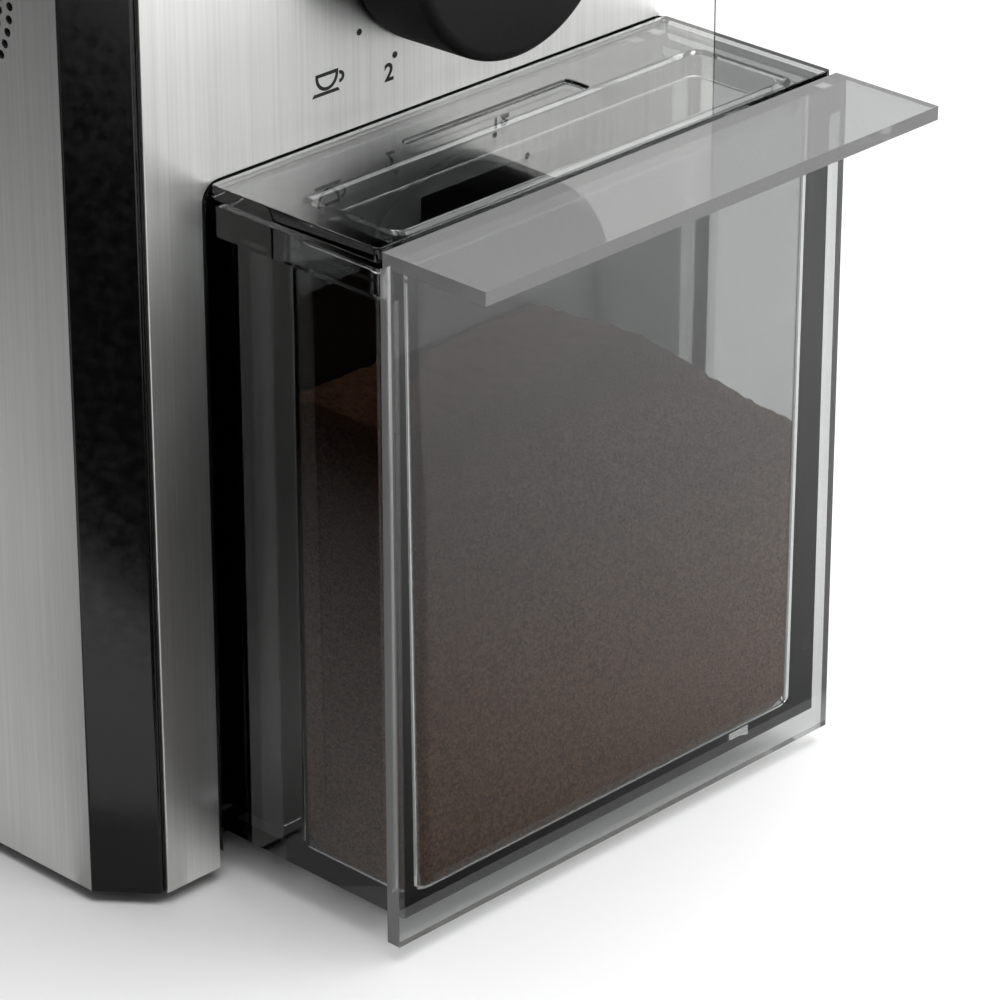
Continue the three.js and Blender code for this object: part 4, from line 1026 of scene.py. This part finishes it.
# ---------------------------------------------------------------------------
# Hopper and its lid. Smoke-tinted polycarbonate, moulded in one piece with the funnel that reaches down to
# the burrs; the lid drops inside the rim and has a small black grip.


def clear_moulding(name, tint, film, roughness, ior, shade):
    """Clear moulded plastic. Rays towards the lamps pass it as a light tint, so what it holds stays lit."""
    made, tree, shader = new_material(name, {"Transmission Weight": 1.0, "IOR": ior})
    flow = object_noise(tree, 45.0, 2.0)
    paint(tree, shader, flow, tint, film)
    vary_gloss(tree, shader, flow, roughness, roughness + 0.02)
    bump(tree, shader, flow, 0.02 * MM)
    passing = add_node(tree, "ShaderNodeBsdfTransparent", {"Color": colour(shade)})
    path = add_node(tree, "ShaderNodeLightPath")
    mix = add_node(tree, "ShaderNodeMixShader", None, {
        0: path.outputs["Is Shadow Ray"], 1: shader.outputs["BSDF"], 2: passing.outputs["BSDF"],
    })
    output = next(n for n in tree.nodes if n.type == "OUTPUT_MATERIAL")
    tree.links.new(mix.outputs["Shader"], output.inputs["Surface"])
    return made


smoked = clear_moulding("polycarbonate_smoke", "#8d8782", "#979089", 0.02, 1.58, "#b0aba6")


def loft_rings(name, sections, steps=8):
    """A closed skin through round-cornered rectangles: (half x, half y, radius, y, z)."""
    edit = bmesh.new()
    rings = []
    for hx, hy, radius, y, z in sections:
        outline = rounded_outline(-hx, hx, y - hy, y + hy, radius, steps)
        rings.append([edit.verts.new((a, b, z)) for a, b in outline])
    for lower, upper in zip(rings, rings[1:]):
        bridge(edit, lower, upper)
    edit.faces.new(rings[0])
    edit.faces.new(rings[-1])
    return new_piece(name, edit)


burr_y = depth(62.0)
throat = 19.4 * MM
wall = 2.0 * MM
seat = 44.0 * MM
corner = 14.0 * MM
rim = hopper_high.z
deck_top = deck_high.z
funnel_foot = level(178.0)
lid_low, lid_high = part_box("hopper_lid")


def square_at(inset, z):
    """The hopper's round-cornered outline at a height, drawn in all round."""
    return hopper_half - inset, hopper_half - inset, corner - inset, hopper_y, z


def circle_at(radius, y, z):
    """A round section of the funnel."""
    return radius, radius, radius, y, z


hopper = loft_rings("smoked_hopper", [
    square_at(0.5 * MM, deck_top), square_at(0, deck_top + 0.5 * MM),
    square_at(0, rim - 0.3 * MM), square_at(0.3 * MM, rim),
], 12)
funnel = loft_rings("tool", [
    circle_at(throat, burr_y, hopper_low.z), circle_at(throat, burr_y, funnel_foot),
    circle_at(seat, hopper_y, deck_bottom), circle_at(seat, hopper_y, deck_top + 1 * MM),
], 16)
cut(hopper, [funnel], "UNION")
bowl_foot = hopper_half - wall - 2 * MM
bean_space = loft_rings("tool", [
    circle_at(throat - wall, burr_y, hopper_low.z - 1 * MM),
    circle_at(throat - wall, burr_y, funnel_foot + 1 * MM),
    circle_at(seat - wall, hopper_y, deck_bottom + 2.5 * MM),
    (bowl_foot, bowl_foot, corner, hopper_y, deck_top + 4 * MM),
    square_at(wall, deck_top + 6 * MM), square_at(wall, rim + 1 * MM),
], 16)
cut(hopper, [bean_space])
smooth_by_angle(hopper, 35.0)
put_material(hopper, smoked)
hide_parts("hopper")
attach(hopper, "bean_hopper")

skirt = wall + 0.5 * MM
hopper_lid = loft_rings("smoked_hopper_lid", [
    square_at(0.3 * MM, rim + 0.02 * MM), square_at(0, rim + 0.3 * MM),
    square_at(0, lid_high.z - 1.2 * MM), square_at(0.35 * MM, lid_high.z - 0.4 * MM),
    square_at(1.2 * MM, lid_high.z),
], 12)
for inset, start, end, operation in (
    (skirt, lid_low.z, rim + 1 * MM, "UNION"), (skirt + wall, lid_low.z - 1 * MM, rim, "DIFFERENCE"),
):
    cut(hopper_lid, [loft_rings("tool", [square_at(inset, start), square_at(inset, end)], 12)], operation)
smooth_by_angle(hopper_lid, 35.0)
put_material(hopper_lid, smoked)
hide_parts("hopper_lid")
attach(hopper_lid, "hopper_cover")

grip_low, grip_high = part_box("hopper_lid_grip")
neck = ((0, 0), (9, 0), (8.6, 0.6), (8, 1.6), (8.3, 2.2))
cap = ((10.6, 2.4), (11, 1.6), (10.8, 0.8), (10, 0.2), (8.5, 0), (4, 0.25), (0, 0.4))
profile = [(r * MM, grip_low.z + up * MM) for r, up in neck]
profile += [(r * MM, grip_high.z - down * MM) for r, down in cap]
grip = turned("lid_grip", profile, (0, hopper_y, 0))
put_material(grip, abs_satin)
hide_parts("hopper_lid_grip")
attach(grip, "hopper_cover")

# ---------------------------------------------------------------------------
# Grounds container. Clear styrene-acrylic: a box with a drafted cavity, a flange round its rim and side walls
# that run on backwards past the boss. The front plate and pull lip are bonded on without a trace, so box and
# plate are one clear body here; the plate hangs nearly to the table.
plate_low, plate_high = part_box("container_front_plate")
clear = clear_moulding("san_clear_grey", "#babcbc", "#c1c3c2", 0.012, 1.54, "#cfd0cf")
front_wall_y = depth(-33.9)
rear_face = depth(-9.0)
tail = depth(5.0)
box_half = 44.2 * MM
side_wall = 2.5 * MM
rim_half = 46.2 * MM
rim_bottom = level(100.0)
rim_top = level(104.6)
box_bottom = level(4.2)
cavity_bottom = level(6.2)
cavity_front = front_wall_y + 2.0 * MM
cavity_rear = rear_face - 2.0 * MM
cavity_half = 41.3 * MM
taper = 0.8 * MM


def cavity(name, shrink, bottom, top, radius):
    """The container's drafted hollow, or a plug for it that is smaller all round."""
    y = (cavity_front + cavity_rear) / 2
    hx = cavity_half - taper - shrink
    hy = (cavity_rear - cavity_front) / 2 - shrink
    foot = 1.2 * MM
    knee = 0.35 * foot
    return loft_rings(name, [
        (hx - foot, hy - foot, max(radius - foot, 0.4 * MM), y, bottom),
        (hx - knee, hy - knee, radius - knee, y, bottom + knee),
        (hx, hy, radius, y, bottom + foot),
        (cavity_half - shrink, hy, radius, y, top),
    ], 6)


can = block(
    -box_half, box_half, front_wall_y, rear_face, box_bottom, rim_top - 1 * MM, 1.2 * MM, "clear_container",
)
cut(can, [block(-box_half, box_half, rear_face - 3 * MM, tail, box_bottom, cavity_bottom)], "UNION")
for sign in (-1, 1):
    x0, x1 = sorted((sign * box_half, sign * (box_half - side_wall)))
    cut(can, [block(x0, x1, rear_face - 1 * MM, tail, box_bottom, rim_bottom + 1 * MM)], "UNION")
cut(can, [block(-rim_half, rim_half, front_wall_y, depth(-0.7), rim_bottom, rim_top, 0.8 * MM)], "UNION")
cut(can, [cavity("tool", 0.0, cavity_bottom, rim_top + 1 * MM, 3 * MM)])
cut(can, [block(
    -spout_half - 1 * MM, spout_half + 1 * MM, cavity_rear - 3 * MM, rear_face + 2 * MM,
    spout_bottom - 1 * MM, spout_top + 1 * MM,
)])

plate_front = depth(-35.8)
plate_rear = depth(-33.9)
lip_end = plate_low.y
lip_top = plate_high.z
lip_thickness = 2.1 * MM
outline = [
    (plate_front, plate_low.z), (plate_rear + 0.5 * MM, plate_low.z), (plate_rear + 0.5 * MM, lip_top),
    (lip_end, lip_top), (lip_end, lip_top - lip_thickness), (plate_front, lip_top - lip_thickness),
]
plate = prism("tool", outline, "X", plate_low.x, plate_high.x)
wide = 60 * MM
cut(plate, [block(-wide, wide, plate_rear, plate_rear + 1 * MM, rim_top + 0.3 * MM, lip_top + 1 * MM)])
cut(can, [plate], "UNION")
round_edges(can, 0.28 * MM, 2, 50.0)
smooth_by_angle(can, 35.0)
put_material(can, clear)


def frosted_clear():
    """The lip's finely frosted upper face and rim: half the light scatters as grey, half goes through."""
    made = clear.copy()
    made.name = "san_clear_frosted"
    tree = made.node_tree
    output = next(n for n in tree.nodes if n.type == "OUTPUT_MATERIAL")
    grain = object_noise(tree, 1 / (0.4 * MM))
    frost = add_node(tree, "ShaderNodeBsdfDiffuse", {"Roughness": 0.4}, {
        "Color": blend_colours(tree, grain, "#9c9c9c", "#a6a6a6"),
    })
    mix = add_node(tree, "ShaderNodeMixShader", {0: 0.52}, {
        1: output.inputs["Surface"].links[0].from_socket, 2: frost.outputs["BSDF"],
    })
    tree.links.new(mix.outputs["Shader"], output.inputs["Surface"])
    return made


can.data.materials.append(frosted_clear())
for face in can.data.polygons:
    if face.normal.z > -0.1 and face.center.y < plate_front - 1 * MM:
        face.material_index = 1
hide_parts("container_box", "container_front_plate")
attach(can, "container")

# ---------------------------------------------------------------------------
# Container lid. A clear plate with a skirt that drops into the cavity and a shallow finger groove, a hair's
# breadth behind the front plate.
lid_bottom = level(105.3)
lid_top = level(107.5)
lid_front = plate_rear + 0.9 * MM
container_lid = block(
    -rim_half, rim_half, lid_front, depth(-0.3), lid_bottom, lid_top, 0.8 * MM, "clear_lid",
)
skirt_plug = cavity("tool", 0.6 * MM, level(101.6) - 1.2 * MM, lid_bottom + 0.5 * MM, 2.6 * MM)
cut(container_lid, [skirt_plug], "UNION")
cut(container_lid, [cavity("tool", 2.2 * MM, level(99.0), lid_bottom, 2.0 * MM)])
cut(container_lid, [
    block(-20 * MM, 20 * MM, depth(-50.0), depth(20.0), level(90.0), level(101.6)),
    block(-wide, wide, depth(-50.0), depth(20.0), level(90.0), level(101.61)),
    block(-17 * MM, 17 * MM, depth(-12.6), depth(-7.9), lid_top - 0.5 * MM, lid_top + 1 * MM, 0.8 * MM),
])
round_edges(container_lid, 0.25 * MM, 2, 50.0)
smooth_by_angle(container_lid, 35.0)
put_material(container_lid, clear)
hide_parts("container_lid")
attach(container_lid, "container_cover")

# ---------------------------------------------------------------------------
# Ground coffee in the container: a brown heap, level on the left and sloping down to the right as it fell
# from the spout, with a grainy face where it leans on the walls.


def ground_coffee():
    """Medium-ground roasted coffee: dark brown grains of 0.3 to 0.8 mm with paler chaff among them."""
    made, tree, shader = new_material("ground_coffee", {"Roughness": 0.9, "Specular IOR Level": 0.05})
    place = add_node(tree, "ShaderNodeTexCoord").outputs["Object"]
    grains = add_node(tree, "ShaderNodeTexVoronoi", {"Scale": 1 / (0.45 * MM)}, {"Vector": place})
    dust = object_noise(tree, 1 / (0.25 * MM))
    drift = object_noise(tree, 1 / (30 * MM))
    grain_tone = add_node(tree, "ShaderNodeSeparateColor", None, {"Color": grains.outputs["Color"]})
    mix = add_node(tree, "ShaderNodeMix", {"data_type": "RGBA"}, {
        "Factor": remap(tree, drift, 0.25, 0.6),
        6: blend_colours(tree, grain_tone.outputs["Red"], "#5a3826", "#a87d60"),
        7: blend_colours(tree, remap(tree, dust, 0, 1, 0.45, 0.75), "#6a4733", "#b88f74"),
    })
    # Painted shade: the colour darkens steadily towards the top of the heap.
    axes = add_node(tree, "ShaderNodeSeparateXYZ", None, {"Vector": place})
    top_shade_fade = remap(tree, axes.outputs["Z"], 1.0, 0.0, level(22.0), level(76.0))
    shade = blend_colours(tree, top_shade_fade, "#7d746f", "#ffffff")
    tree.links.new(multiply_colours(tree, 1.0, mix.outputs[2], shade), shader.inputs["Base Color"])
    bump(tree, shader, grains.outputs["Distance"], 0.06 * MM)
    return made


air = 0.12 * MM
heap_left = level(79.0)
heap_slope_start = 5.0 * MM
repose = math.tan(math.radians(36.5))


def heap_height(x, y):
    """Height of the coffee at a place: flat on the left, at its angle of repose to the right."""
    fall = max(0.0, x - heap_slope_start) * repose
    back = (y - cavity_front) / (cavity_rear - cavity_front)
    soft_top = -1.5 * MM * back
    # Lumps about 11 mm across, crumbs of 2.4 mm and grains of half a millimetre.
    lumps = 0.9 * MM * noise.noise(Vector((x, y, 0)) * 90)
    crumbs = 0.45 * MM * noise.noise(Vector((x, y, 1)) * 420)
    grit = 0.25 * MM * noise.noise(Vector((x, y, 2)) * 1900)
    return max(heap_left - fall + soft_top + (lumps + crumbs) + grit, cavity_bottom + 3 * MM)


across, deep = 150, 40
inset = 3 * MM
edit = bmesh.new()
grid = []
for j in range(deep + 1):
    row = []
    for i in range(across + 1):
        y = cavity_front + air + (cavity_rear - cavity_front - 2 * air) * j / deep
        top_x = (cavity_half - air) * (2 * i / across - 1)
        z = heap_height(top_x, y)
        share = (z - cavity_bottom) / (rim_top - cavity_bottom)
        half = cavity_half - taper * (1 - share) - air
        # The last points are pulled in to follow the cavity's corner radius.
        x = half * (2 * i / across - 1)
        edge_x = half - abs(x)
        edge_y = min(y - cavity_front, cavity_rear - y)
        if edge_x < inset and edge_y < inset:
            dx, dy = inset - edge_x, inset - edge_y
            reach = math.hypot(dx, dy)
            if reach > inset:
                x -= math.copysign(dx - dx * inset / reach, x)
                y += (dy - dy * inset / reach) * (1 if y - cavity_front < cavity_rear - y else -1)
        row.append(edit.verts.new((x, y, z)))
    grid.append(row)
for j in range(deep):
    for i in range(across):
        edit.faces.new((grid[j][i], grid[j][i + 1], grid[j + 1][i + 1], grid[j + 1][i]))
rim_loop = grid[0] + [row[-1] for row in grid[1:]] + grid[-1][-2::-1] + [row[0] for row in grid[-2:0:-1]]
previous = rim_loop
layers = 24
foot_height = 1.2 * MM
foot_pull = 1.1 * MM
middle_y = (cavity_front + cavity_rear) / 2
for layer in range(1, layers + 1):
    share = layer / layers
    ring = []
    for vert in rim_loop:
        z = vert.co.z + (cavity_bottom + air - vert.co.z) * share
        draft = 1 - taper / cavity_half * share * 0.9
        pull = foot_pull if z < cavity_bottom + foot_height else 0.0
        x = vert.co.x * draft - math.copysign(pull, vert.co.x)
        y = vert.co.y - math.copysign(pull, vert.co.y - middle_y)
        ring.append(edit.verts.new((x, y, z)))
    bridge(edit, previous, ring)
    previous = ring
edit.faces.new(previous)
coffee = new_piece("ground_coffee_heap", edit)
coffee.data.polygons.foreach_set("use_smooth", [True] * len(coffee.data.polygons))
put_material(coffee, ground_coffee())
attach(coffee, "container")
